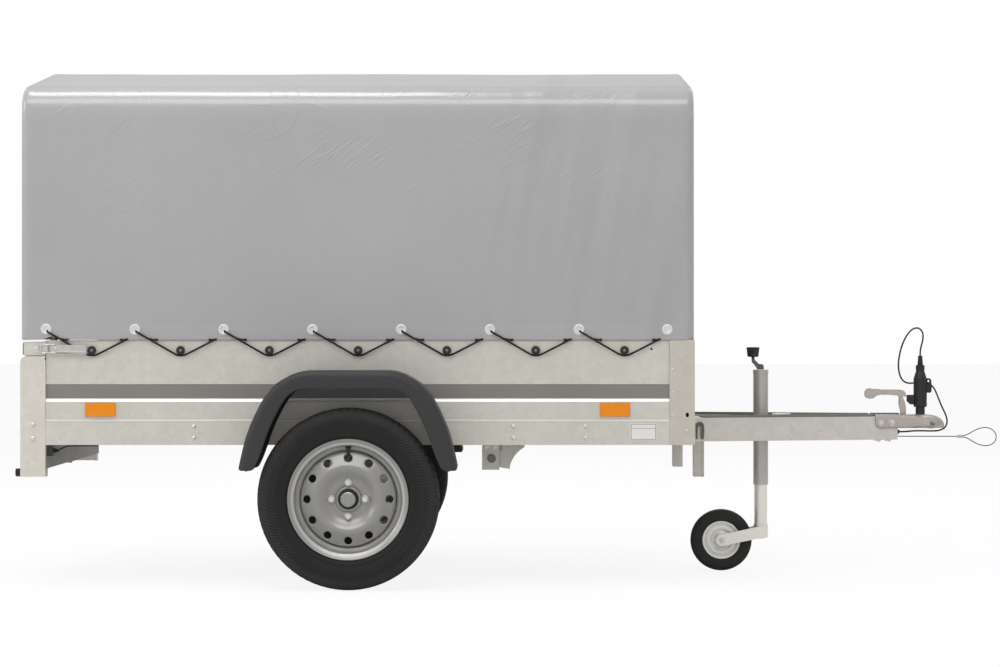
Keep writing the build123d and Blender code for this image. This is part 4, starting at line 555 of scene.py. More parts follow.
# %% [markdown]
# ## Lenses, wire rope and floor board
# A reflector is clear plastic over a grid of tiny prisms, so its bump is a fine checker of sines under a
# glossy coat; the same checker paints light and shade on the facets into its colour, and a weak emission
# paints a glow. Wire rope is a helix of strands, a diagonal sine along the cord, with lighter strands and
# dark gaps painted as light and shade. The floor is film-faced plywood with a mesh pattern pressed into it.

# %% Special finishes
def lens(name, tone, deep):
    """Clear coloured plastic over prisms, with painted light on its facets and a painted glow."""
    finish = Finish(name)
    where = finish.position()
    x, y, z = (finish.axis(where, index) for index in range(3))
    prism = ((x + y) * 1400).sine() * (z * 1400).sine()
    # the prism checker lightens and darkens the colour, painted light and shade on the facets; the weak
    # emission is a painted glow
    colour = finish.mix((prism * 0.5 + 0.5).clamp(), deep, tone)
    finish.close(colour, 0.28 + prism * 0.06, finish.bump(prism, 0.0004),
                 Coat_Weight=0.25, Coat_Roughness=0.08, Emission_Color=colour, Emission_Strength=0.1,
                 Specular_IOR_Level=0.2)


lens("orange_lens", srgb(234, 142, 4), srgb(202, 114, 1))
lens("red_lens", srgb(200, 22, 22), srgb(128, 8, 10))
lens("amber_lens", srgb(236, 138, 24), srgb(190, 96, 10))

rope = Finish("wire_rope")
rope_x, rope_y, rope_z = (rope.axis(rope.position(), index) for index in range(3))
# lighter strands with dark gaps between them: painted light and shade along the helix
strand = (rope_x * 2600 + rope_y * 900 + rope_z * 2600).sine() * 0.5 + 0.5
rope.close(rope.mix(strand, srgb(24, 24, 24), srgb(66, 65, 64)), 0.42 - strand * 0.1,
           rope.bump(strand, 0.0006), Metallic=0.15)

board = Finish("floor_board")
board_x, board_y = board.axis(board.position(), 0), board.axis(board.position(), 1)
weave = ((board_x + board_y) * 900).sine() * ((board_x - board_y) * 900).sine()
stain = board.noise(5, 6)
board.close(board.mix((stain + weave * 0.25).clamp(), srgb(58, 40, 28), srgb(92, 66, 46)),
            0.5 - weave * 0.1, board.bump(weave, 0.0006), Coat_Weight=0.15, Coat_Roughness=0.3)

pale = Finish("pale_floor")
matt = pale.node("ShaderNodeBsdfDiffuse", sockets={
    "Color": pale.mix(pale.noise(0.8, 2), (0.9, 0.9, 0.9, 1), (0.92, 0.92, 0.92, 1))})
glow = pale.node("ShaderNodeEmission", sockets={"Color": (1, 1, 1, 1), "Strength": 1})
seen_share = pale.node("ShaderNodeLightPath") * 0.88
pale.node("ShaderNodeOutputMaterial", sockets={
    "Surface": pale.node("ShaderNodeMixShader", sockets={0: seen_share, 1: matt, 2: glow})})
floor_mesh.materials.append(finishes["pale_floor"])
print("finishes in all:", len(finishes))

# %% [markdown]
# ## Coated tarpaulin
# The cover is polyester cloth under grey PVC. From a step away it reads as satin plastic: a soft
# coat, a very fine weave underneath, and small stiff crinkles that catch the light near folds. The
# large waves are real geometry further down, and only the crinkles are bump.

# %% Tarpaulin finish
tarp = Finish("tarpaulin")
tarp_place = tarp.position()
tarp_x, tarp_y, tarp_z = (tarp.axis(tarp_place, index) for index in range(3))
weave_across = (tarp_z * 4200 + tarp_y * 4200).sine() * (tarp_x * 4200).sine()
slow = tarp.noise(1.7, 4)
crinkle = tarp.noise(9, 6, tarp.stretched(1.3, 1, 0.75), 0.62)
warped = tarp.node("ShaderNodeMix", {"data_type": "VECTOR"}, {
    0: 0.12, 4: tarp_place, 5: tarp.node("ShaderNodeTexNoise", sockets={"Scale": 6}, output=1)}, 1)
net = 1 - (tarp.cells(15, warped, 0, "DISTANCE_TO_EDGE") * 16).clamp()
net_patch = ((tarp.noise(2.6, 1) - 0.51) * 9).clamp()
turned = tarp.node("ShaderNodeMapping", sockets={"Vector": tarp_place, "Rotation": (0, 0.66, 0)})
along_crease = tarp.noise(1, 1, tarp.node("ShaderNodeMapping", sockets={
    "Vector": turned, "Scale": (4, 4, 40)})) - 0.5
scratch = (1 - along_crease * along_crease * 700).clamp()
scratch_patch = ((tarp.noise(5.2, 1, tarp.stretched(1, 1, 1.4)) - 0.53) * 10).clamp()
upper = ((tarp_z - 0.95) * 2.5).clamp()
crease = (net * net_patch * 0.7 + scratch * scratch_patch) * upper
fold = tarp.noise(1, 1, tarp.node("ShaderNodeMapping", sockets={
    "Vector": tarp.node("ShaderNodeMapping", sockets={"Vector": tarp_place, "Rotation": (0, -0.16, 0)}),
    "Scale": (9, 1, 0.9)})) * ((tarp_x + 0.15) * 3).clamp()
near_roof = ((tarp_z - 1.36) * 7).clamp()
tarp_tone = tarp.mix((slow * 0.9 + crinkle * 0.2).clamp(), srgb(149, 147, 149), srgb(163, 162, 164))
roof = ((tarp_z - 1.519) * 120).clamp()
eave = tarp_z.within(1.43, 1.522)
tarp_rough = 0.34 + (slow - 0.5) * 0.1 + crinkle * 0.05 + roof * 0.42 - eave * 0.05
tarp_coat = 0.33 + eave * 0.55 - roof * 0.33
tarp_height = crinkle * (0.35 + near_roof * 0.3) + crease * 0.19 + fold * 4.5 + weave_across * 0.004
tarp.close(tarp_tone, tarp_rough, tarp.bump(tarp_height, 0.0055, 0.75),
           Coat_Weight=tarp_coat, Coat_Roughness=0.15, Specular_IOR_Level=0.5)
print("tarpaulin finish ready")

# %% [markdown]
# ## Finishes on the carried-over solids
# Most rigid pieces keep the mesh that the frame brings. Each gets its finish here from one table,
# so that a reader sees what is made of what.

# %% Finishes for the nodes
NODE_FINISHES = {
    "galvanised_band": ["side_panel_right", "side_panel_left"],
    "galvanised": ["front_wall", "tailgate"],
    "post_rear": ["rear_posts"],
    "post_front": ["front_posts"],
    # the light board takes the dark zinc as painted shade, for the shadow it lies in under the box
    "dark_zinc_and_painted_shade": ["light_board"],
    "cast_zinc": ["coupling", "coupling_handle"],
    "jack_zinc": ["jockey_tube"],
    "jack_bright": ["jockey_inner_tube", "jockey_fork"],
    "galvanised_frame": [
        "cross_members", "axle_beam", "axle_arms", "drawbar_arm_right", "drawbar_arm_left",
        "drawbar_plates", "frame_brackets", "tailgate_hinges", "cover_bows"],
    "zinc_plate": [
        "hub_right", "hub_left", "cable_ferrule", "jockey_clamp", "latches"],
    "wheel_paint": ["rim_right", "rim_left"],
    "grey_rim": ["jockey_rim"],
    "tyre": ["tyre_right", "tyre_left"],
    "black_rubber": ["buffers", "cord_fittings", "jockey_tyre"],
    "black_plastic": ["lamp_connectors", "lacing_knobs", "plug", "plug_holder", "jockey_crank"],
    "fender_plastic": ["fenders"],
    "orange_lens": ["side_reflectors"],
    "red_lens": ["tail_lamps"],
    "floor_board": ["floor"],
    "tarpaulin": ["cover"],
    "cord_rubber": ["plug_lead"],
    "wire_rope": ["safety_cable", "safety_cable_loop"],
}
for finish_name, node_names in NODE_FINISHES.items():
    for node_name in node_names:
        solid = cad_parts[node_name].data
        solid.materials.clear()
        solid.materials.append(finishes[finish_name])
for cord in (lead, cable, loop):
    cord.data.materials[0] = finishes[cord["finish"]]
print("nodes dressed:", sum(len(names) for names in NODE_FINISHES.values()), "of", len(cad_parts))

# %% [markdown]
# ## The tarpaulin
# The cover is one coated sheet over three hoops, laced down all round. It is built as rings of
# points along the trailer: a ring is the section from hem over the ridge to hem, the rings near
# each end shrink to round the upright corners, and a few more close the gable. A height function
# then moves each point along its normal: slack between hoops, soft upright waves, pulls at the
# eyelets and a doubled hem. Building it this way keeps control of every wave, which a simulation
# of so tight a cover would not.

# %% Tarpaulin
HEM_Z, RIDGE_Z = cover_low.z, cover_high.z
ROOF_ANGLE = radians(9.6)
EAVE_RADIUS, CORNER_RADIUS, HEM_HEIGHT = 0.08, 0.022, 0.052
COVER_SIDE = HALF - 0.0012
HOOPS = [REAR + 0.097, (REAR + FRONT) / 2, FRONT - 0.097]
WAVE_TOP = 1.46                    # where the upright waves end below the eaves
EYELETS = [AXLE_X + forward * MM for forward in (-931, -660, -389, -117.5, 153, 424.5, 696, 966)]
EYELET_Z = 0.783
LATCH_LIFT_X = AXLE_X - 0.91
GABLE_EYELETS = [-0.42, -0.14, 0.14, 0.42]


def cover_section(side_count=44, arc_count=12, roof_count=20):
    """Half the section from the hem to the ridge: (y, z, outward y, outward z)."""
    sweep = pi / 2 - ROOF_ANGLE
    bend_z = RIDGE_Z - COVER_SIDE * tan(ROOF_ANGLE) - EAVE_RADIUS * tan(sweep / 2)

    def eave(angle):
        return COVER_SIDE - EAVE_RADIUS * (1 - cos(angle)), bend_z + EAVE_RADIUS * sin(angle)

    half = [(COVER_SIDE, HEM_Z + (bend_z - HEM_Z) * (k / side_count) ** 1.15, 1, 0)
            for k in range(side_count)]
    for angle in (sweep * k / arc_count for k in range(arc_count)):
        half.append((*eave(angle), cos(angle), sin(angle)))
    start_y, start_z = eave(sweep)
    for share in (k / roof_count for k in range(roof_count + 1)):
        half.append((start_y * (1 - share), start_z + (RIDGE_Z - start_z) * share,
                     sin(ROOF_ANGLE), cos(ROOF_ANGLE)))
    return half


half_section = cover_section()
section = [(-y, z, -ny, nz) for y, z, ny, nz in half_section]
section += reversed(half_section[:-1])


def bell(distance, width):
    """A smooth bump of height one and the given half-width."""
    return exp(-(distance / width) ** 2)


def side_wave(x, z, side):
    """How far the side cloth stands out of its plane, in metres."""
    reach = z - HEM_Z
    rise = ramp(reach / (WAVE_TOP - HEM_Z))
    slack = max(0, 1 - max(bell(x - hoop, 0.1) for hoop in HOOPS)) * sin(pi * rise)
    seed = 3 if side > 0 else 0
    wide = noise.noise(Vector((x * 1.7, seed, z * 0.8)))
    narrow = noise.noise(Vector((x * 6.5, seed + 5, z * 1.1)))
    lean = noise.noise(Vector(((x + z * 0.45) * 9, seed + 9, (z - x * 0.2) * 2.6)))
    pull = sum(bell(x - eyelet, 0.022 + reach * 0.2) for eyelet in EYELETS) * exp(-reach / 0.15) * 0.002
    return 0.001 + slack * 0.003 + wide * 0.0032 + narrow * 0.0013 + lean * 0.0007 - pull


def roof_wave(x, y):
    """Sag of the roof cloth between the hoops."""
    span = min(abs(x - hoop) for hoop in HOOPS) / ((FRONT - REAR) / 4)
    ripple = noise.noise(Vector((x * 5, y * 7, 2))) * 0.0012
    sag = 0.002 * sin(pi / 2 * min(span, 1)) ** 2 * (1 - bell(abs(y) - HALF, 0.1))
    return ripple - sag - 0.001


def hem_lift(x, y):
    """The hem rises in a small curve over each latch."""
    return 0.011 * bell(x - LATCH_LIFT_X, 0.022) if abs(y) > HALF * 0.9 else 0


def cover_point(x, entry):
    """A section entry at a place along the trailer, with its waves."""
    y, z, out_y, out_z = entry
    side = 1 if y > 0 else -1
    upright = 1 - ramp(out_z / 0.9)
    wave = upright * side_wave(x, z, side) + (1 - upright) * roof_wave(x, y)
    fade = min(max((z - HEM_Z) / 0.05, 0.25), 1) * min(min(x - REAR, FRONT - x) / 0.05, 1)
    y += out_y * wave * fade
    z += out_z * wave * fade
    return Vector((x, y, z + hem_lift(x, y) * max(0, 1 - (z - HEM_Z) / 0.045)))


def gable_wave(y, z, end):
    """Soft waves of the gable cloth, never beyond the box's end."""
    wide = noise.noise(Vector((y * 2.1, end * 7, z * 1.3))) * 0.003
    narrow = noise.noise(Vector((y * 8, end * 11, z * 1.6))) * 0.0012
    return wide + narrow - 0.0045


RING_COUNT, CORNER_RINGS, GABLE_RINGS = 150, 6, 26
STATIONS = [REAR + CORNER_RADIUS + (FRONT - REAR - 2 * CORNER_RADIUS) * index / RING_COUNT
            for index in range(RING_COUNT + 1)]


def end_rings(x_end, way):
    """Rings that round one upright corner and close its gable, from the outside inwards."""
    made = []
    for step in range(GABLE_RINGS, 0, -1):
        share = step / GABLE_RINGS
        ring = []
        for index, (y, z, out_y, out_z) in enumerate(section):
            y -= out_y * CORNER_RADIUS
            z -= out_z * CORNER_RADIUS
            climb = index / (len(section) - 1)
            centre_z = HEM_Z + (RIDGE_Z - CORNER_RADIUS - HEM_Z) * (1 - abs(2 * climb - 1))
            y, z = y * (1 - share), z + (centre_z - z) * share
            edge = 1 - bell(share, 0.12)
            ring.append(Vector((x_end + way * gable_wave(y, z, way) * edge, y, z)))
        made.append(ring)
    for step in range(CORNER_RINGS):
        turn = pi / 2 * step / CORNER_RINGS
        inset, back = CORNER_RADIUS * (1 - sin(turn)), CORNER_RADIUS * (1 - cos(turn))
        made.append([Vector((x_end - way * back, y - out_y * inset, max(z - out_z * inset, HEM_Z)))
                     for y, z, out_y, out_z in section])
    return made


rings = end_rings(REAR + 0.0012, -1)
rings += [[cover_point(x, entry) for entry in section] for x in STATIONS]
rings += reversed(end_rings(FRONT - 0.0012, 1))
cloth = bmesh.new()
skin(cloth, [[cloth.verts.new(point) for point in ring] for ring in rings], closed=False)
bmesh.ops.remove_doubles(cloth, verts=cloth.verts, dist=0.0004)
bmesh.ops.dissolve_degenerate(cloth, edges=cloth.edges, dist=0.0001)
cover_piece = add_mesh("tarpaulin_cover", cloth, "tarpaulin", "box", sharp=60, sheet=0.0012)
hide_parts("cover")
print("tarpaulin rings:", len(rings), "points a ring:", len(section))

# %% [markdown]
# ## Hem and eyelets
# Along its lower edge the sheet is folded and welded double, which shows as a low step, and plated
# eyelets are pressed through the double part. The strips are thin meshes that follow the sheet's own
# waves, so they never part from it.

# %% Hem and eyelets
HEM_STEP = 0.0004
hem_low, hem_high = HEM_Z + 0.0002, HEM_Z + HEM_HEIGHT
# columns: height, stand off the cloth
HEM_EDGE = ((hem_low, 0.0002), (hem_low, HEM_STEP), (hem_high - 0.002, HEM_STEP), (hem_high, 0.0002))
strips = bmesh.new()
for side in (-1, 1):
    skin(strips, [[strips.verts.new(cover_point(x, (side * COVER_SIDE, height, side, 0))
                                    + Vector((0, side * out, 0))) for height, out in HEM_EDGE]
                  for x in STATIONS], closed=False)
hem_piece = add_mesh("cover_hem", strips, "tarpaulin", "box", sharp=8)

# an eyelet's section: radius, stand off the cloth, millimetres
EYELET = [(7.5, -1), (7.8, 1), (9.5, 2.4), (13, 2.4), (16, 1.4), (16.6, 0)]
EYELET_FACE = [(0, 0.8), (7.7, 0.8)]
seats = []
for side in (-1, 1):
    for eyelet in EYELETS:
        on_cloth = cover_point(eyelet, (side * COVER_SIDE, EYELET_Z, side, 0))
        seats.append((on_cloth + Vector((0, side * HEM_STEP, 0)), (0, side, 0)))
for end_x, way in ((REAR, -1), (FRONT, 1)):
    for y in GABLE_EYELETS:
        seats.append(((end_x + way * (gable_wave(y, EYELET_Z, way) + 0.0006), y, EYELET_Z), (way, 0, 0)))
metal, cups = bmesh.new(), bmesh.new()
for seat, axis in seats:
    lathe(metal, EYELET, seat, axis)
    lathe(cups, EYELET_FACE, seat, axis)
eyelet_piece = add_mesh("cover_eyelets", metal, "eyelet_metal", "box")
cup_piece = add_mesh("cover_eyelet_cloth", cups, "eyelet_metal", "box")
print("eyelets:", len(seats))

# %% [markdown]
# ## Lacing
# One black rope leaves each eyelet, runs under the next knob and goes back up behind the hem. It is
# held tight at every turn, so its runs are straight and only the turns are round. It is a curve
# with a round section, in one piece for each side.

# %% Lacing
KNOBS = [AXLE_X + forward * MM for forward in (-791, -520, -249, 22, 293, 564, 835)]
KNOB_HEIGHT = 0.719
ROPE_RADIUS = 0.003
board_y = -panel_low.y - 0.0065    # the side board's face, off the middle


def lacing(side):
    """Control points of the rope on one side, a run for each knob, with two points at each turn."""
    outer, knob_y = COVER_SIDE + 0.0062, board_y + 0.0082
    runs = []
    for eyelet, knob in zip(EYELETS, KNOBS):
        path = [
            (eyelet + 0.004, COVER_SIDE - 0.004, 0.7795), (eyelet + 0.002, outer, 0.777),
            (eyelet + 0.01, outer, 0.7725), (knob - 0.03, knob_y + 0.001, 0.715),
            (knob - 0.01, knob_y, 0.7035), (knob + 0.01, knob_y, 0.7035),
            (knob + 0.028, knob_y + 0.001, 0.712), (knob + 0.09, knob_y + 0.002, 0.744),
            (knob + 0.106, knob_y - 0.001, 0.7525), (knob + 0.112, COVER_SIDE - 0.006, 0.756)]
        runs.append([(x, side * y, z) for x, y, z in path])
    return runs


TIE = [(0, -14), (1.6, -12), (2.2, 0), (1.6, 12), (0, 14)]
for side, label in SIDES:
    add_curve(f"lacing_{label}", lacing(side), ROPE_RADIUS, "lacing_rope", "box", 3, 12)
    ties = bmesh.new()
    for eyelet, knob in zip(EYELETS, KNOBS):
        for x, tilt in ((eyelet + 0.058, -0.3), (knob + 0.098, 0.25)):
            for turn in (tilt, -tilt * 0.6):
                lathe(ties, TIE, (x, side * (COVER_SIDE + 0.003), 0.7515), (cos(turn), 0, sin(turn)), 8)
    add_mesh(f"lacing_ties_{label}", ties, "lacing_rope", "box")
print("lacing runs a side:", len(KNOBS))

# %% [markdown]
# ## Tyres
# A tyre is a ring turned from one section: bead, rim guard, bulging sidewall, rounded shoulder and
# a tread with grooves. What makes it read as rubber is what the turned shape lacks, so the ring is
# cut fine enough to carry the slanted ribs moulded on the flanks and the notches that cross the
# shoulders. The sidewalls stay free of lettering.

# %% Tyres
WHEEL_Y = (tyre_low.y + tyre_high.y) / -2
HUB_HEIGHT = (tyre_low.z + tyre_high.z) / 2
TYRE_TURNS = 360
RIB_COUNT = 120
NOTCH_STEP = 5
# half a section: radius, distance off the middle, millimetres
TYRE_HALF_SECTION = [
    (170, 52), (182.9, 55), (184, 64), (187, 67.6), (190.5, 69.9), (194, 71.6), (197, 72),
    (199, 71.4), (201, 71.6), (207, 74), (214, 75.9), (222, 77), (230, 77.3), (236, 76.9),
    (240, 76.5), (244, 75.9), (248, 75.1), (252, 73.9), (256, 72.3), (260, 70.2), (262, 68.9),
    (262.6, 67.6), (265.6, 66.3), (268.2, 63.2), (270.2, 59), (271.6, 54), (272.2, 48), (272.4, 42.6),
    (267.2, 41.6), (267.2, 36.6), (272.8, 35.4), (273.1, 26), (273.2, 16.6), (267.6, 15.6), (267.6, 10.4),
    (273.3, 9.4), (273.4, 0),
]
TYRE_SECTION = mirrored(TYRE_HALF_SECTION, 1)


def add_tyre(side, label):
    """A tyre with its tread, notches and flank ribs."""
    shape = bmesh.new()
    rows = []
    for radius, out in TYRE_SECTION:
        on_flank = ramp((radius - 234) / 4) * ramp((262 - radius) / 3)
        on_shoulder = 44 < abs(out) < 66.5 and radius > 263
        rows.append([])
        for step in range(TYRE_TURNS):
            angle = 2 * pi * step / TYRE_TURNS
            bare = on_flank * ramp((abs(cos(angle)) - 0.42) * 5)
            rib = sin(RIB_COUNT * (angle + (radius - 234) * 0.0011)) > 0.3
            r = (radius - (3.2 if on_shoulder and step % NOTCH_STEP == 0 else 0)) * MM
            y = out + (1.7 * rib - 1.5) * bare * (1 if out > 0 else -1)
            rows[-1].append(shape.verts.new((AXLE_X + r * cos(angle), side * (WHEEL_Y + y * MM),
                                             HUB_HEIGHT + r * sin(angle))))
    skin(shape, rows + rows[:1])
    tyre = add_mesh(f"road_tyre_{label}", shape, "tyre", f"wheel_{label}", sharp=32)
    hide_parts(f"tyre_{label}")


for side, label in SIDES:
    add_tyre(side, label)
print("tyres: radius", round(TYRE_RADIUS, 4), "middle", round(WHEEL_Y, 4))

# %% [markdown]
# ## Rims
# A steel wheel is two pressings welded together: a rolled barrel with safety edges, and a disc
# whose raised ring carries the load between the hub and twelve vents. The barrel is turned. The
# disc is a polar grid, and each vent is a patch of that grid whose inner edge is a circle, drawn
# in slightly like the real punched and folded edge. A solidify modifier gives the sheet's thickness.

# %% Rims
RIM_TURNS = 96
VENTS = 12
VENT_CIRCLE, VENT_SIZE = 124, 12.3
VENT_LOW, VENT_HIGH, VENT_CUTS = 110, 138, 8
BARREL_SECTION = [
    (182.4, 62.6), (182.2, 64.6), (180.9, 65.7), (178.8, 65.4), (176.4, 63.6), (172.2, 60.2), (168, 58.6),
    (164.2, 57), (161.8, 53.2), (161, 46), (160.2, 40.2), (157, 35.2), (151.6, 30.8), (147, 27),
    (145.4, 22), (145.1, 12), (145.1, -4), (152.6, -21), (160.4, -38.8), (161.2, -56), (165.8, -58.8),
    (178, -64.2), (181, -65.6), (182.4, -64.4), (182.4, -61.8), (171, -57.2), (165, -54),
    (164.4, -38), (156.6, -20), (149.1, -3.6), (149, 24), (150.6, 27.4), (159.4, 33.4), (164.2, 38.6),
    (165, 44), (165.2, 52), (167.2, 55.2), (175, 58.6), (180, 60.8),
]
DISC_PROFILE = [
    (28.8, 32.6), (30, 33.8), (32, 34.2), (35.6, 34.2), (36.8, 33), (38.2, 33), (39.4, 34.2),
    (54, 34.4), (59, 35.2), (64, 36.9), (70, 40), (76, 43.9), (82, 48), (87, 51),
    (92, 53.2), (97, 54), (102, 53.2), (106, 51.2), (110, 48.8), (124, 41.4), (138, 34.4),
    (140.6, 31.8), (142.6, 27.6), (143.8, 22), (144.6, 15),
]


def disc_height(radius):
    """How far the disc's outer face stands out of the wheel's middle, at a radius."""
    for (r0, h0), (r1, h1) in zip(DISC_PROFILE, DISC_PROFILE[1:]):
        if r0 <= radius <= r1:
            return h0 + (h1 - h0) * (radius - r0) / (r1 - r0)
    return DISC_PROFILE[-1][1]


# turned fittings: radius, distance, millimetres
BOLT_SEAT = [(12.5, 0), (12.2, 2.2), (10.4, 4.2), (0, 4.2)]
BOLT_HEX = [(9.8, 4), (9.8, 12.2), (8.6, 13.8), (0, 14.2)]
CAP = [(23.8, 46), (23.4, 53), (22.6, 55.6), (21.4, 56.8), (16, 57.8), (8, 58.4), (0, 58.5)]
CAP_GAP_SHADE = [(23.8, 44), (24, 51.2), (24.7, 51), (25.4, 46.2), (27.6, 44), (29.1, 41), (29.2, 33.5)]
VALVE = [(0, 0), (9.2, 0), (8.8, 3), (6.2, 6.2), (5.6, 15), (5, 17.5), (5.2, 19), (5.2, 28), (4.4, 30),
         (0, 30.2)]


def add_rim(side, label):
    """Barrel and disc of one wheel, with its bolts, cap, valve and a black ring of painted shade in the gap
    round the cap.
    """
    wheel, hub, outward = f"wheel_{label}", (AXLE_X, side * WHEEL_Y, HUB_HEIGHT), (0, side, 0)

    def spot(radius, angle, out):
        return (AXLE_X + radius * MM * cos(angle), side * (WHEEL_Y + out * MM),
                HUB_HEIGHT + radius * MM * sin(angle))

    barrel = bmesh.new()
    lathe(barrel, BARREL_SECTION + BARREL_SECTION[:1], hub, outward, 128, Vector((1, 0, 0)))
    barrel_piece = add_mesh(f"rim_barrel_{label}", barrel, "wheel_paint", wheel, 42, 0.00002)
    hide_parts(f"rim_{label}")

    disc = bmesh.new()
    radii = [r for r, _ in DISC_PROFILE]
    for part in ([r for r in radii if r <= VENT_LOW], [r for r in radii if r >= VENT_HIGH]):
        skin(disc, [[disc.verts.new(spot(r, 2 * pi * k / RIM_TURNS, disc_height(r)))
                     for k in range(RIM_TURNS)] for r in part])
    span = pi / VENTS
    corners = [(VENT_LOW, -span), (VENT_LOW, span), (VENT_HIGH, span), (VENT_HIGH, -span)]
    patch = [(r0 + (r1 - r0) * k / VENT_CUTS, t0 + (t1 - t0) * k / VENT_CUTS)
             for (r0, t0), (r1, t1) in zip(corners, corners[1:] + corners[:1]) for k in range(VENT_CUTS)]
    for vent in range(VENTS):
        middle = pi / 2 + 2 * pi * vent / VENTS
        rows = []
        for share, drawn in ((0, 0), (0.45, 0), (0.78, 0), (0.9, 0.3), (0.97, 1.1), (1, 2.6)):
            rows.append([])
            for r, turn in patch:
                aim = atan2(r - VENT_CIRCLE, turn * VENT_CIRCLE)
                size = VENT_SIZE - drawn * 0.35
                r_in, turn_in = VENT_CIRCLE + size * sin(aim), size * cos(aim) / VENT_CIRCLE
                r_mid, turn_mid = r + (r_in - r) * share, turn + (turn_in - turn) * share
                rows[-1].append(disc.verts.new(spot(r_mid, middle + turn_mid, disc_height(r_mid) - drawn)))
        skin(disc, rows)
    add_mesh(f"rim_disc_{label}", disc, "wheel_paint", wheel, 50, 0.00005, 0.0034)

    fittings = bmesh.new()
    for quarter in range(4):
        centre = spot(50, pi / 2 * quarter, 34)
        lathe(fittings, BOLT_SEAT, centre, outward, 24)
        lathe(fittings, BOLT_HEX, centre, outward, 6)
    add_mesh(f"wheel_bolts_{label}", fittings, "bolt_zinc", wheel, sharp=30)

    cap, rubber = bmesh.new(), bmesh.new()
    lathe(cap, CAP, hub, outward, 48)
    add_mesh(f"hub_cap_{label}", cap, "cap_steel", wheel)
    # a black rubber ring fills the gap between cap and disc: painted shade for the dark gap
    lathe(rubber, CAP_GAP_SHADE, hub, outward, 48)
    lathe(rubber, VALVE, spot(157, pi / 2, 34.5), (0, side * 0.56, -0.83), 20)
    add_mesh(f"valve_and_cap_gap_shade_{label}", rubber, "black_rubber", wheel)


for side, label in SIDES:
    add_rim(side, label)
print("rims: vents", VENTS, "turns", RIM_TURNS)

# %% [markdown]
# ## Fenders
# Each fender is one vacuum-formed shell, so it has no hard edge anywhere: a flat crown, sloping
# haunches and a skirt that hides the upper third of the tyre. A row of sections is lofted along
# the arch, each one a channel with a wide round corner on its outer side and a rolled lip.

# %% Fenders
# half the arch: outer edge forward and height, inner edge forward and height, millimetres
ARCH = [
    (0, 659, 0, 604), (66, 659, 66, 604), (118, 658.9, 112, 604), (138, 657, 130, 603.6),
    (156, 652, 145, 601.5), (176, 643.5, 159, 597), (212, 622, 177, 584), (236, 597, 193, 563),
    (257, 568, 207, 539), (281, 521, 225, 503), (301, 472, 240, 467), (312, 434, 253, 428),
    (319, 404, 264, 398), (325, 376, 274, 376), (326.5, 366, 281, 365), (322, 360.6, 292, 360.4),
]
FENDER_WALL, FENDER_FACE = HALF + 0.0002, HALF + 0.1996
CROWN_ROUND = 0.02


def arch_stations(parts=5):
    """Catmull-Rom stations over the whole arch, rear foot to front foot, millimetres from the axle."""
    half = [(-66, 659, -66, 604)] + ARCH + [(316, 360, 300, 360)]
    made = []
    for index in range(1, len(half) - 2):
        p0, p1, p2, p3 = half[index - 1:index + 3]
        for part in range(parts):
            t = part / parts
            made.append([0.5 * (2 * b + (c - a) * t + (2 * a - 5 * b + 4 * c - d) * t * t
                                + (3 * b - a - 3 * c + d) * t ** 3) for a, b, c, d in zip(p0, p1, p2, p3)])
    made.append(list(ARCH[-1]))
    return [[-ox, oz, -ix, iz] for ox, oz, ix, iz in reversed(made[1:])] + made


def fender_section(depth):
    """Channel section in metres: (way from the outer edge to the inner one, distance off the middle)."""
    points = [(depth - 0.001, FENDER_WALL + 0.004), (depth - 0.004, FENDER_WALL), (0.008, FENDER_WALL),
              (0.0025, FENDER_WALL + 0.0022), (0, FENDER_WALL + 0.008), (0, (FENDER_WALL + FENDER_FACE) / 2)]
    for step in range(9):
        angle = pi / 2 * step / 8
        points.append((CROWN_ROUND * (1 - cos(angle)), FENDER_FACE - CROWN_ROUND * (1 - sin(angle))))
    return points + [(depth * 0.6, FENDER_FACE), (depth - 0.006, FENDER_FACE),
                     (depth - 0.0026, FENDER_FACE - 0.0008), (depth - 0.0006, FENDER_FACE - 0.0032),
                     (depth, FENDER_FACE - 0.0075)]


for side, label in SIDES:
    shell = bmesh.new()
    rows = []
    for outer_x, outer_z, inner_x, inner_z in arch_stations():
        outer, inner = Vector((outer_x, 0, outer_z)) * MM, Vector((inner_x, 0, inner_z)) * MM
        way = (inner - outer).normalized()
        rows.append([])
        for reach, y in fender_section((inner - outer).length):
            point = outer + way * reach
            rows[-1].append(shell.verts.new((AXLE_X + point.x, side * y, point.z)))
    skin(shell, rows, closed=False)
    fender = add_mesh(f"fender_{label}", shell, "fender_plastic", "box", 60, sheet=0.0035)
    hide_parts("fenders")
print("fender sections:", len(arch_stations()))

# %% [markdown]
# ## Fasteners on the box
# A bolted box shows where its frame is: carriage bolts at the posts and the rail, small rivets that hold the
# boards, and a few strap holes, drawn as near-black discs whose dark is painted shade. Each head is turned
# from a short section, and a hexagon is the same turning with six sides. Small blocks with rounded edges come
# from one helper, which bevels a box, because no pressed or moulded edge is truly sharp.

# %% Bolts, rivets and holes
BOX_FACES = ((0, 1, 3, 2), (4, 6, 7, 5), (0, 4, 5, 1), (2, 3, 7, 6), (0, 2, 6, 4), (1, 5, 7, 3))


def soften(shape, edges, soft, steps=2):
    """Round edges off, by so many millimetres."""
    bmesh.ops.bevel(shape, geom=edges, offset=soft * MM, segments=steps, affect="EDGES", clamp_overlap=True)


def block(shape, low, high, soft=1, steps=2):
    """Add a box between opposite corners, millimetres forward, across and up, with rounded edges."""
    spans = [sorted(pair) for pair in zip(place(*low), place(*high))]
    corners = [shape.verts.new(corner) for corner in product(*spans)]
    walls = [shape.faces.new([corners[index] for index in face]) for face in BOX_FACES]
    soften(shape, list({edge for wall in walls for edge in wall.edges}), soft, steps)


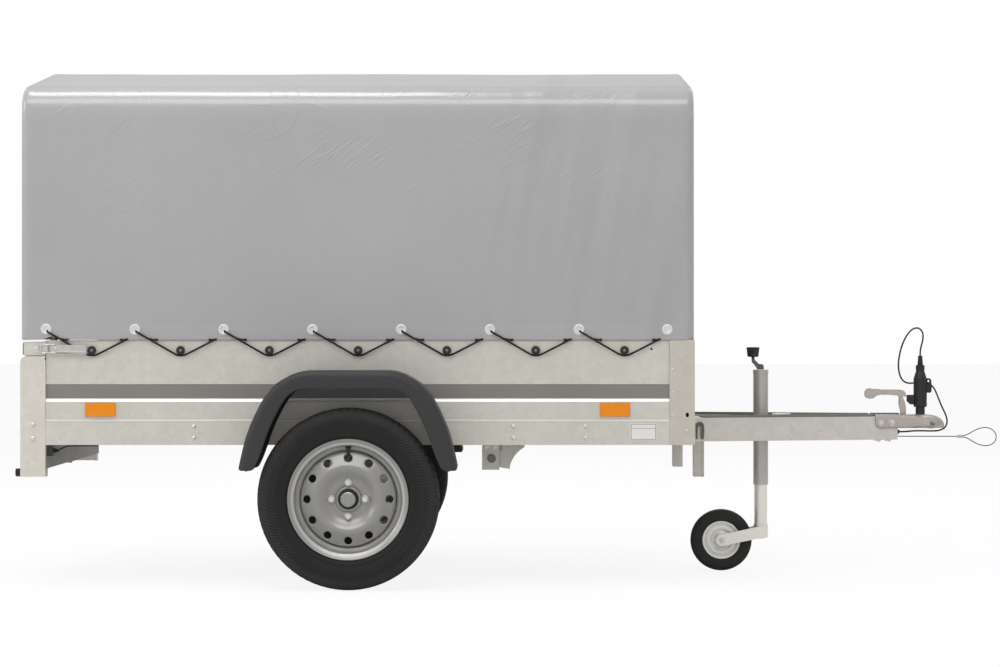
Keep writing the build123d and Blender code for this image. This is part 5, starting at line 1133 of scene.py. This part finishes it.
def plate(shape, outline, y_from, y_to, soft):
    """Add a flat plate from an outline of (forward, up) points between two distances across."""
    ends = [[shape.verts.new(place(x, y, z)) for x, z in outline] for y in sorted((y_from, y_to))]
    faces = [shape.faces.new(end) for end in ends]
    skin(shape, ends)
    soften(shape, [edge for face in faces for edge in face.edges], soft)


def arc_points(centre, radius, start, end, count):
    """Points (forward, up) on an arc, in degrees from forward towards up."""
    angles = [radians(start + (end - start) * k / count) for k in range(count + 1)]
    return [(centre[0] + radius * cos(angle), centre[1] + radius * sin(angle)) for angle in angles]


DOME = [(1, 0), (0.97, 0.16), (0.8, 0.36), (0.48, 0.5), (0, 0.55)]
WASHER = [(1, 0), (1, 0.1), (0.96, 0.14), (0.55, 0.14)]
HEX = [(0.62, 0.12), (0.62, 0.62), (0.55, 0.7), (0, 0.72)]


def head(shape, spot, axis, size, kind="dome"):
    """A fastener's head, `size` millimetres in radius, with its foot at `spot`."""
    for profile, count in [(DOME, 24)] if kind == "dome" else [(WASHER, 24), (HEX, 6)]:
        lathe(shape, profile, spot, axis, count, scale=size * MM)


POST_FACE, RAIL_FACE, BAND_FACE, BOARD_FACE = 550, 549.5, 547, 543
# columns: forward, up, face's distance off the middle, radius
BOX_FASTENERS = [
    (-971, 492, POST_FACE, 7.5), (-971, 450, POST_FACE, 7.5), (-946, 595, POST_FACE, 3.6),
    (983, 660, POST_FACE, 3.8), (983, 520, POST_FACE, 3.8), (1026, 473, POST_FACE, 4.2),
    (-946, 660, POST_FACE, 3.4), (983, 592, POST_FACE, 3),
]
BOX_FASTENERS += [(x, z, RAIL_FACE, 6.5) for x in (496, 717, -480) for z in (487, 452)]
heads = bmesh.new()
for forward, height, face, size in BOX_FASTENERS:
    for side in (-1, 1):
        head(heads, place(forward, side * (face + 0.1), height), (0, side, 0), size)
for y in (-380, 0, 380):
    for x in (-946, -480, -40, 432, 737, 1010):
        head(heads, place(x, y, 529), (0, 0, 1), 5)
add_mesh("box_fasteners", heads, "bolt_zinc", "box", sharp=40)

# the strap holes are near-black discs on the face: painted shade for the dark inside each hole
holes = bmesh.new()
for side in (-1, 1):
    for forward, height, face, wide, tall in ((1027, 522, POST_FACE, 5, 7), (918, 723, BOARD_FACE, 3.5, 3.5)):
        mouth = [[holes.verts.new(place(forward + wide * share * cos(k * pi / 10), side * (face + proud),
                                        height + tall * share * sin(k * pi / 10)))
                  for k in range(20)] for share, proud in ((1, 0.25), (0.9, 0.05))]
        skin(holes, mouth)
        for ring in mouth:
            holes.faces.new(ring)
add_mesh("box_holes", holes, "hole_painted_shade", "box", sharp=40)
print("fasteners:", 2 * len(BOX_FASTENERS) + 18)

# %% [markdown]
# ## Data plate and reflector frames
# A trailer carries a data plate on its right side, here left blank, and its reflectors sit in thin
# moulded frames. The plate is a film with softly rounded corners and a raised border, which is
# enough to say what it is.

# %% Data plate and reflectors
# near-white beads along the rail's ledge are painted highlight, and the pale block at the tailgate's lug is
# painted light over the shade of its gap
bend_highlights = bmesh.new()
for side in (-1, 1):
    block(bend_highlights, (-931, side * 549.2, 503.9), (972, side * 550.7, 506.7), 0.6)
    block(bend_highlights, (-999, side * 541, 696), (-934, side * 549.4, 701.8), 0.8)
add_mesh("rail_bends", bend_highlights, "painted_edge_highlight", "box", sharp=50)
film = bmesh.new()
block(film, (853, -RAIL_FACE - 0.9, 444), (933, -RAIL_FACE - 0.1, 496), 0.4)
add_mesh("data_plate", film, "label_film", "box")
border = bmesh.new()
for x0, z0, x1, z1 in ((855, 446, 931, 447.4), (855, 492.6, 931, 494), (855, 446, 856.4, 494),
                       (929.6, 446, 931, 494), (855, 480.4, 931, 481.6)):
    block(border, (x0, -RAIL_FACE - 1.15, z0), (x1, -RAIL_FACE - 0.8, z1), 0.1, 1)
add_mesh("data_plate_border", border, "dark_zinc_and_painted_shade", "box")

frames = bmesh.new()
FRAME_BARS = ((-46, -21, 46, -19.2), (-46, 19.2, 46, 21), (-46, -21, -44.2, 21), (44.2, -21, 46, 21))
for side, middle in product((-1, 1), (-766, 806)):
    for x0, z0, x1, z1 in FRAME_BARS:
        block(frames, (middle + x0, side * (BAND_FACE + 0.3), 538 + z0),
              (middle + x1, side * (BAND_FACE + 5.2), 538 + z1), 0.5, 1)
add_mesh("reflector_frames", frames, "orange_lens", "box", sharp=40)
print("reflector frames: 4")

# %% [markdown]
# ## Tailgate latches
# An over-centre latch has three parts: a base riveted to the side board, a pressed lever with a
# stiffening bead, and a wire bail that pulls on a striker. The lever and base are solids already,
# so this adds the bead, the bail, the striker on the tailgate's lug and the lug's rolled edges.
# The striker rides with the tailgate, and the bail stays on the box.

# %% Latches
latch_steel, striker_steel, lug_slot_shade = bmesh.new(), bmesh.new(), bmesh.new()
# the lever's beads: low, outer face off the middle, high, rounding
LEVER_BEADS = ((713.6, 557.6, 718.4, 0.7), (732.6, 557.2, 735.4, 0.6), (706.6, 557.2, 709, 0.6))
# the bail's line: forward, off the middle, up
BAIL = [(-902, 557.6, 711), (-915, 557.8, 711), (-938, 558, 711.4), (-943.5, 558, 712.6),
        (-945.5, 558, 718), (-945.5, 558, 730), (-943.5, 558, 735.4), (-938, 558, 736.6),
        (-915, 557.8, 737), (-902, 557.6, 737)]
for side in (-1, 1):
    for z0, out, z1, soft in LEVER_BEADS:
        block(latch_steel, (-899, side * 556.1, z0), (-812, side * out, z1), soft)
    for x, z in ((-901, 724.5), (-908, 713.5), (-908, 732)):
        head(latch_steel, place(x, side * 556.2, z), (0, side, 0), 3.2)
    block(striker_steel, (-968, side * 553.2, 712.5), (-951, side * 556.8, 735.5), 1.2)
    head(striker_steel, place(-960, side * 556.8, 724), (0, side, 0), 4.2)
    for z0, z1 in ((742, 744.6), (703.4, 705.6)):
        block(striker_steel, (-997, side * 552.8, z0), (-932, side * 554.6, z1), 0.8)
    # a thin dark strip at the end of each lug: painted shade for the slot
    block(lug_slot_shade, (-1001.5, side * 552.9, 706.5), (-998.2, side * 553.6, 741), 0.3, 1)
add_mesh("latch_beads", latch_steel, "bolt_zinc", "box", sharp=40)
add_mesh("latch_strikers", striker_steel, "bolt_zinc", "tailgate", sharp=40)
add_mesh("lug_slots", lug_slot_shade, "dark_zinc_and_painted_shade", "tailgate", sharp=40)
for side, label in SIDES:
    bail = [place(x, side * y, z) for x, y, z in BAIL]
    add_curve(f"latch_bail_{label}", [bail], 1.7 * MM, "bolt_zinc", "box")
print("latches dressed: 2")

# %% [markdown]
# ## Lacing knobs
# The knobs are turned plastic buttons: a stem, a rounded head and a paler screw in a shallow well.
# Each is drawn once from its section and repeated, so all fourteen match.

# %% Knobs
KNOB_SECTION = [(5.6, 0), (5.4, 7.6), (8, 8.6), (12.6, 9.2), (13.5, 10.4), (13.5, 12.6), (12.4, 14.2),
                (10, 15), (6.4, 15), (5.8, 14.2), (5.2, 13.4), (0, 13.2)]
knobs, screws = bmesh.new(), bmesh.new()
for side in (-1, 1):
    for knob in KNOBS:
        foot = Vector((knob, side * (BOARD_FACE + 0.3) * MM, KNOB_HEIGHT))
        lathe(knobs, KNOB_SECTION, foot, (0, side, 0), 28)
        lathe(screws, [(4.6, 13), (4.5, 14), (3.6, 14.7), (0, 14.9)], foot, (0, side, 0), 20)
knob_piece = add_mesh("lacing_buttons", knobs, "black_plastic", "box")
add_mesh("lacing_button_screws", screws, "dark_zinc_and_painted_shade", "box")
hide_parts("lacing_knobs")
print("buttons:", 2 * len(KNOBS))

# %% [markdown]
# ## Rear lamps and their wiring
# From behind, the lamp board carries two clusters. Each has an amber indicator between two red
# fields in a black housing, and a triangular reflector stands beside it. A thin cable feeds each one
# from in front. The lens fields are rounded blocks that stand just outside the solid lamp, whose own
# face becomes the housing.

# %% Lamps
lamp_back = (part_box("tail_lamps")[0].x - AXLE_X) / MM
LENS_LOW, LENS_HIGH = 368, 419.5
# columns: name, finish, from and to off the middle
LENS_FIELDS = [("lens_red", "red_lens", 201.5, 300), ("lens_amber", "amber_lens", 303, 380),
               ("lens_tail", "red_lens", 383, 424.5)]
for name, finish, inner, outer in LENS_FIELDS:
    shape = bmesh.new()
    for side in (-1, 1):
        block(shape, (lamp_back - 5, side * inner, LENS_LOW), (lamp_back + 2, side * outer, LENS_HIGH), 3, 3)
    add_mesh(name, shape, finish, "box", sharp=40)
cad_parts["tail_lamps"].data.materials[0] = finishes["black_plastic"]

TRIANGLE_Y, TRIANGLE_Z = 150, 389
triangles, triangle_rims = bmesh.new(), bmesh.new()
board_back = (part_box("light_board")[0].x - AXLE_X) / MM
for side in (-1, 1):
    for shape, reach, deep in ((triangle_rims, 27, 3), (triangles, 22, 5)):
        corners = arc_points((side * TRIANGLE_Y, TRIANGLE_Z), reach, 90, 330, 2)
        ends = [[shape.verts.new(place(board_back - back, y, z)) for y, z in corners] for back in (deep, 0.3)]
        for end in ends:
            shape.faces.new(end)
        skin(shape, ends)
add_mesh("triangle_reflectors", triangles, "red_lens", "box", sharp=30)
add_mesh("triangle_rims", triangle_rims, "black_plastic", "box", sharp=30)

WIRE = [(-911, 528, 412), (-900, 528, 412), (-884, 525, 420), (-872, 520, 425.5), (-850, 512, 426.5),
        (-780, 508, 426.5)]
GLAND = [(0, 0), (7.5, 0), (7, 4), (4.6, 12), (4, 16), (0, 16)]
for side, label in SIDES:
    wire = [place(x, side * y, z) for x, y, z in WIRE]
    add_curve(f"lamp_wire_{label}", [wire], 2.6 * MM, "cord_rubber", "box")
    gland = bmesh.new()
    lathe(gland, GLAND, place(-911.5, side * 528, 412), (1, 0, 0), 20)
    add_mesh(f"lamp_gland_{label}", gland, "black_rubber", "box")
print("lamp fields:", len(LENS_FIELDS) * 2)

# %% [markdown]
# ## Hinges, plate mount and rear details
# The tailgate hangs on three strap hinges. Bolts hold the straps and the rear posts, and a plain
# plate mount with rounded edges sits between the lamps.

# %% Rear details
rear_steel = bmesh.new()
for y in (-380, 0, 380):
    for shift in (-18, 18):
        head(rear_steel, place(-985, y + shift, 445.2), (0, 0, 1), 3.2)
for side in (-1, 1):
    for z in (640, 560, 480):
        head(rear_steel, place(-1010.1, side * 515, z), (-1, 0, 0), 4.5)
add_mesh("rear_fasteners", rear_steel, "bolt_zinc", "box", sharp=40)
mount = bmesh.new()
block(mount, (board_back - 2.6, -120, 366), (board_back - 0.3, 120, 420), 1)
add_mesh("plate_mount", mount, "black_plastic", "box", sharp=40)
print("rear details ready")

# %% [markdown]
# ## Coupling head
# The coupling is one deep-drawn steel pressing: a channel bolted over the ends of the arms that
# narrows to a dome round the ball. A row of arched sections is lofted from the rear to the nose,
# with the half-width and the height as functions of the length, and a cup for the ball is turned
# inside it. Two bolts on each side go through it and the arms.

# %% Coupling
HEAD_REAR, HEAD_WAIST, HEAD_NECK = 1670, 1749, 1836
HEAD_LOW, HEAD_HIGH = 464, 508
WAIST_HALF, NECK_HALF, FOOT_ROUND = 44, 34, 16
coupling_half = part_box("coupling")[1].y / MM


def head_half(forward):
    """Half-width of the head at a place along it."""
    if forward < HEAD_WAIST:
        return coupling_half + (WAIST_HALF - coupling_half) * (forward - HEAD_REAR) / (HEAD_WAIST - HEAD_REAR)
    if forward < HEAD_NECK:
        share = (forward - HEAD_WAIST) / (HEAD_NECK - HEAD_WAIST)
        return WAIST_HALF - (WAIST_HALF - NECK_HALF) * share * share * (3 - 2 * share)
    reach = (forward - HEAD_NECK) / (NOSE - HEAD_NECK)
    return max(NECK_HALF * sqrt(max(1 - reach ** 2.2, 0)), 1.5)


def head_roof(forward):
    """Top of the head, which falls in a quarter round over the ball."""
    reach = max(0, (forward - HEAD_NECK) / (NOSE - HEAD_NECK))
    return HEAD_LOW + 8 + (HEAD_HIGH - HEAD_LOW - 8) * sqrt(max(1 - reach ** 2.4, 0))


def head_foot(forward):
    """Lower edge, rounded up at the rear corner."""
    back = max(0, HEAD_REAR + FOOT_ROUND - forward)
    return HEAD_LOW + FOOT_ROUND - sqrt(FOOT_ROUND * FOOT_ROUND - back * back)


def shoulder(forward, height):
    """How far the side steps in behind the slanting crease where the dome begins."""
    past = (forward - 1804) * 0.595 + (height - 504) * 0.804
    rise, fall = ramp(past / 7), ramp((36 - past) / 26)
    return 0.24 * rise * rise * (3 - 2 * rise) * fall * fall * (3 - 2 * fall)


STEPS = [0, 1.5, 4, 8, 12, 16, 26, 40, 56, 70, 79, 88, 100, 112, 122, 130, 136, 141, 146, 152, 159, 166,
         174, 182, 190, 198, 205, 211, 216, 220, 223.5, 226.2, 228.3, 229.6, 230]
head_shape = bmesh.new()
rows = []
for forward in (HEAD_REAR + step for step in STEPS):
    half, roof, foot = head_half(forward), head_roof(forward), head_foot(forward)
    turn = min(9 + 12 * max(0, (forward - HEAD_WAIST) / (NOSE - HEAD_WAIST)), half * 0.8, (roof - foot) * 0.8)
    crown = [(-half, foot), (-half, foot + (roof - foot - turn) * 0.5)]
    crown += arc_points((turn - half, roof - turn), turn, 180, 90, 5) + [(0, roof)]
    crown += [(-y, z) for y, z in reversed(crown[:-1])]
    rows.append([head_shape.verts.new(place(forward, y * (1 - shoulder(forward, z)), z)) for y, z in crown])
skin(head_shape, rows, closed=False)
coupling_piece = add_mesh("coupling_head", head_shape, "cast_zinc", "drawbar", 50,
                          0.00005, 0.004)
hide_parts("coupling")

# the cup from its rim to its top, inside and then outside
CUP_INSIDE = [(26, 0.5), (25.6, 2), (25.6, 14), (24, 22), (19, 29.5), (11, 33.4), (0, 34.4)]
CUP_OUTSIDE = [(26, 0.5), (28.2, 0.2), (28.6, 3), (28.2, 16), (26, 25), (20, 33), (0, 37)]
cup = bmesh.new()
for profile in (CUP_INSIDE, CUP_OUTSIDE):
    lathe(cup, profile, place(1852, 0, HEAD_LOW), (0, 0, 1))
add_mesh("ball_cup", cup, "dark_zinc_and_painted_shade", "drawbar", weld=0.00002)

tow_bolts = bmesh.new()
for side in (-1, 1):
    for forward, height in ((1686, 481), (1723, 482)):
        seat = place(forward, side * (head_half(forward) + 0.1), height)
        head(tow_bolts, seat, (0.235, side, 0), 11, "hex")
    for forward in (1682, 1716):
        across = side * (41 - (forward - 1743) * 0.2374 - 16)
        head(tow_bolts, place(forward, across, 426.9), (0, 0, -1), 9.5, "hex")
add_mesh("coupling_bolts", tow_bolts, "bolt_zinc", "drawbar", sharp=30)
print("coupling sections:", len(STEPS))

# %% [markdown]
# ## Coupling handle
# The release handle is a cranked casting: a lever laid back over the head, a thick tip to hold and
# a stem with a double bend. Its side view is one outline, given thickness and softened edges.

# %% Handle
HANDLE_OUTLINE = [
    (1641, 569), (1640.5, 578), (1643.5, 586.5), (1650, 591.8), (1660, 592.6), (1668, 590.2),
    (1676, 588.6), (1700, 588.4), (1740, 588.6), (1756, 588.2), (1766, 585.4), (1772.6, 579.8),
    (1775, 572.4), (1774.2, 566.2), (1771.4, 564.6), (1769, 568.4), (1765.2, 571), (1762.2, 568),
    (1766.6, 558), (1771.6, 547), (1774, 535), (1774.6, 522), (1775, 508.4), (1757.4, 508.4),
    (1756.6, 521), (1754, 532), (1751.4, 541), (1751.8, 551), (1755.4, 560), (1754, 568),
    (1749, 570.6), (1720, 571), (1690, 571.2), (1678, 570), (1673.6, 563.6), (1667, 559.4),
    (1656, 558.6), (1646, 561.6)]
handle = bmesh.new()
plate(handle, HANDLE_OUTLINE, -10.5, 10.5, 3.2)
handle_piece = add_mesh("release_handle", handle, "cast_zinc", "drawbar", sharp=45)
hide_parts("coupling_handle")
slide = bmesh.new()
block(slide, (1658, -15, HEAD_HIGH + 0.1), (1752, 15, HEAD_HIGH + 4.8), 1.6)
add_mesh("handle_guide", slide, "dark_zinc_and_painted_shade", "drawbar", sharp=40)
print("handle outline points:", len(HANDLE_OUTLINE))

# %% [markdown]
# ## Parked plug
# The lamp plug is a black moulding: a fluted body, a cone, a knurled collar and a ribbed strain
# relief where the lead comes out. A keyway lug stands behind it and the hinge eye of its lid in
# front. The flutes are made by moving every second edge of the turning inwards.

# %% Plug
PLUG_X = 1822


def fluted(shape, profile, centre, flutes, depth, count=72):
    """A turning whose radius is pressed in between its flutes, where the profile asks for it."""
    rows = []
    for radius, height, cut in profile:
        rows.append([])
        for angle in [2 * pi * step / count for step in range(count if radius else 1)]:
            r = radius - cut * depth * (sin(flutes * angle) > 0.2)
            spot = place(centre[0] + r * cos(angle), centre[1] + r * sin(angle), height)
            rows[-1].append(shape.verts.new(spot))
    skin(shape, rows)


plug_shape = bmesh.new()
fluted(plug_shape, [
    (0, 532, 0), (20, 532, 0), (21.7, 533.6, 0), (21.7, 549, 0), (20.9, 550, 0), (20.9, 552, 0),
    (21.7, 553, 0), (21.7, 558, 0), (21.7, 560, 1), (21.7, 612, 1), (21.7, 614, 0), (21.7, 623, 0),
    (20.6, 627, 0), (15.6, 643, 0), (13.6, 648.6, 0), (13.4, 650.2, 0)], (PLUG_X, 0), 18, 0.9)
fluted(plug_shape, [
    (13.2, 650.2, 0), (14, 651.4, 0), (14.2, 653, 1), (14.2, 665, 1), (13.6, 667.4, 0), (9.2, 668.2, 0),
    (9, 672, 0), (8.2, 672.6, 0), (8.2, 675, 0), (8.8, 675.6, 0), (8.6, 679, 0), (7.8, 679.6, 0),
    (7.8, 682, 0), (8.3, 682.6, 0), (8, 686, 0), (7.2, 686.6, 0), (7.2, 689, 0), (7.6, 689.6, 0),
    (7, 696.6, 0), (5.6, 698.8, 0), (0, 699, 0)], (PLUG_X, 0), 14, 0.7)
KEYWAY = [(1778, 551), (1786, 543), (1790, 540), (1802, 540), (1802, 571), (1778, 571)]
LID_EYE = [(1841, 578), (1853, 577.5), (1857.5, 581), (1859, 600), (1857.5, 612), (1853.5, 609),
           (1848, 606.4), (1841, 607.4)]
plate(plug_shape, KEYWAY, -7.5, 7.5, 1.2)
plate(plug_shape, LID_EYE, -7.5, 7.5, 1)
EYE_CORE = [(4.2, -6), (8.6, -6), (9.4, -4.6), (9.4, 4.6), (8.6, 6), (4.2, 6), (3.6, 4.8), (3.6, -4.8),
            (4.2, -6)]
lathe(plug_shape, EYE_CORE, place(1848.5, 0, 616), (0, 1, 0), 28)
plug_piece = add_mesh("lead_plug", plug_shape, "black_plastic", "drawbar", weld=0.00002)
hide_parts("plug")
print("plug pieces ready")

# %% [markdown]
# ## Drawbar fittings
# The drawbar pivots on two pins under the box and is held down by a hooked lock at the front. The
# pin heads, the plate bolts and the dark hook are small, but they are what tells a tipping trailer
# from a rigid one.

# %% Drawbar fittings
PIVOT_X, PIVOT_Y = 429, 362.1
PIN = [(13.4, 0), (13.4, 2.6), (12.4, 3.6), (8.2, 4), (7.6, 3), (0, 2.8)]
pivot_steel, plate_bolts = bmesh.new(), bmesh.new()
for side in (-1, 1):
    lathe(pivot_steel, PIN, place(PIVOT_X, side * PIVOT_Y, 380), (0, side, 0))
    for forward in (414, 440):
        head(plate_bolts, place(forward, side * PIVOT_Y, 418), (0, side, 0), 8, "hex")
add_mesh("pivot_pins", pivot_steel, "dark_zinc_and_painted_shade", "box")
add_mesh("pivot_plate_bolts", plate_bolts, "bolt_zinc", "box", sharp=30)


def arm_half(forward):
    """Outer face of a drawbar arm, off the middle."""
    return 352 - (forward - PIVOT_X) * (352 - 40) / (1743 - PIVOT_X)


HOOK = [(1080, 434), (1080, 470)] + arc_points((1091, 476), 13, 180, 0, 10)
HOOK += [(1105, 458), (1103, 434), (1094, 434), (1095, 458)] + arc_points((1090, 472), 6.5, 0, 180, 6)
HOOK += [(1083.5, 452), (1083.5, 434)]
hook = bmesh.new()
for side in (-1, 1):
    out = arm_half(1092) + 1.6
    plate(hook, HOOK, side * (out + 0.8), side * (out + 7), 0.8)
add_mesh("lock_hooks", hook, "lock_steel", "drawbar", sharp=40)
# a folded lip along the top of each arm in dark zinc; its dark tone is painted shade along the arm's top
lip_shade = bmesh.new()
for side in (-1, 1):
    corners = [lip_shade.verts.new(place(forward, side * (arm_half(forward) - 4 - inward), height))
               for forward, inward, height in product((1100, 1660), (0, 2.4), (500, 511))]
    for face in BOX_FACES:
        lip_shade.faces.new([corners[index] for index in face])
    bmesh.ops.bevel(lip_shade, geom=[edge for edge in lip_shade.edges if edge.calc_length() > 0.5],
                    offset=0.0008, segments=2, affect="EDGES", profile=0.5)
add_mesh("arm_lips", lip_shade, "dark_zinc_and_painted_shade", "drawbar", sharp=40)
lock = bmesh.new()
block(lock, (1108.2, -30, 307), (1117, 30, 430), 2)
block(lock, (1083.4, -30, 306), (1117, 30, 312.5), 1.5)
add_mesh("lock_strap", lock, "galvanised_frame", "drawbar", sharp=40)
SCREW_BAR = [(0, 0), (3.4, 0.4), (4, 1.4), (4, 58.6), (3.4, 59.6), (0, 60)]
SCREW_STEM = [(0, 0), (5, 0), (5, 8), (8.5, 8), (9.2, 9), (9.2, 14), (8.5, 15), (4.4, 15.2),
              (4.4, 27), (0, 27.4)]
screw = bmesh.new()
lathe(screw, SCREW_BAR, place(1336, -46, 509), (1, 0, 0), 20)
lathe(screw, SCREW_STEM, place(1366, -46, 482), (0, 0, 1), 20)
add_mesh("clamp_screw", screw, "bolt_zinc", "drawbar", sharp=35)
print("drawbar fittings ready")

# %% [markdown]
# ## Jockey wheel
# The jockey wheel has a solid rubber tyre on a pressed rim with stepped rings, both turned from
# sections. Its rim hides a bearing, and the axle shows as a bolt head on each side of the fork.

# %% Jockey wheel
JOCKEY_AXLE_X, JOCKEY_AXLE_Z = 1174, 100
jockey_hub = place(JOCKEY_AXLE_X, 0, JOCKEY_AXLE_Z)
RIM_HALF = [(8.5, 27.8), (14.6, 27.8), (15.8, 26.4), (16, 21), (18, 18.4), (23, 16.6), (26.6, 12.4),
            (30, 11.2), (33, 12.6), (36, 14.8), (42, 15.2), (46.4, 14.6), (48.6, 11.6), (50.6, 10.6),
            (52.4, 12.2), (55, 15.6), (58.6, 16.9), (61.2, 16.6), (61.4, 15.2)]
shape = bmesh.new()
lathe(shape, mirrored(RIM_HALF) + RIM_HALF[:1], jockey_hub, (0, 1, 0), 56)
jockey_rim = add_mesh("jockey_rim_pressing", shape, "grey_rim", "jockey_wheel", 45,
                      0.00002)
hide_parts("jockey_rim")

TYRE_HALF = [(61.7, 17.4), (63.4, 19.6), (66, 20.6), (72, 22.2), (80, 23.4), (86, 23.5), (91, 22),
             (95.2, 18.4), (98, 12.6), (99.4, 6), (99.9, 0)]
shape = bmesh.new()
lathe(shape, mirrored(TYRE_HALF, 1) + TYRE_HALF[:1], jockey_hub, (0, 1, 0), 96)
jockey_tyre = add_mesh("jockey_rubber", shape, "black_rubber", "jockey_wheel", 50, 0.00002)
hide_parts("jockey_tyre")

axle_bolts = bmesh.new()
for side in (-1, 1):
    head(axle_bolts, place(JOCKEY_AXLE_X, side * 36.1, JOCKEY_AXLE_Z), (0, side, 0), 9.5, "hex")
add_mesh("jockey_axle_bolt", axle_bolts, "bolt_zinc", "jockey_fork", sharp=30)
print("jockey wheel at", round(jockey_hub.x, 4))

# %% [markdown]
# ## Jockey crank
# The crank on top of the jockey tube is a bent arm with a fluted grip that is wider at the top. Four
# hexagon heads hold the clamp that grips the tube.

# %% Crank and clamp
crank = bmesh.new()
CRANK_ARM = [(1292, 653.8), (1313, 653.8), (1312, 668), (1306, 671), (1297, 669.5), (1284, 682),
             (1282.4, 690.5), (1273.6, 690.5), (1274, 677.6), (1289, 663)]
plate(crank, CRANK_ARM, -8, 8, 1.6)
arm_piece = add_mesh("crank_arm", crank, "lock_steel", "drawbar", sharp=40)
grip = bmesh.new()
fluted(grip, [(0, 690, 0), (5, 690, 0), (5, 694, 0), (16.2, 694.6, 0), (17.6, 696, 0), (18.2, 699, 1),
              (20.4, 718, 1), (21, 722, 0), (20.8, 725, 0), (18.6, 726.2, 0), (0, 726.2, 0)],
       (1278, 0), 16, 0.9)
grip_piece = add_mesh("crank_grip", grip, "black_plastic", "drawbar", sharp=35)
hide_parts("jockey_crank")
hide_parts("jockey_crank")

clamp_steel = bmesh.new()
for height in (452, 477):
    for side in (-1, 1):
        head(clamp_steel, place(1318, side * 20.2, height), (0, side, 0), 6.5, "hex")
add_mesh("clamp_bolts", clamp_steel, "bolt_zinc", "drawbar", sharp=30)
print("crank ready")

# %% Update the scene
bpy.context.view_layer.update()
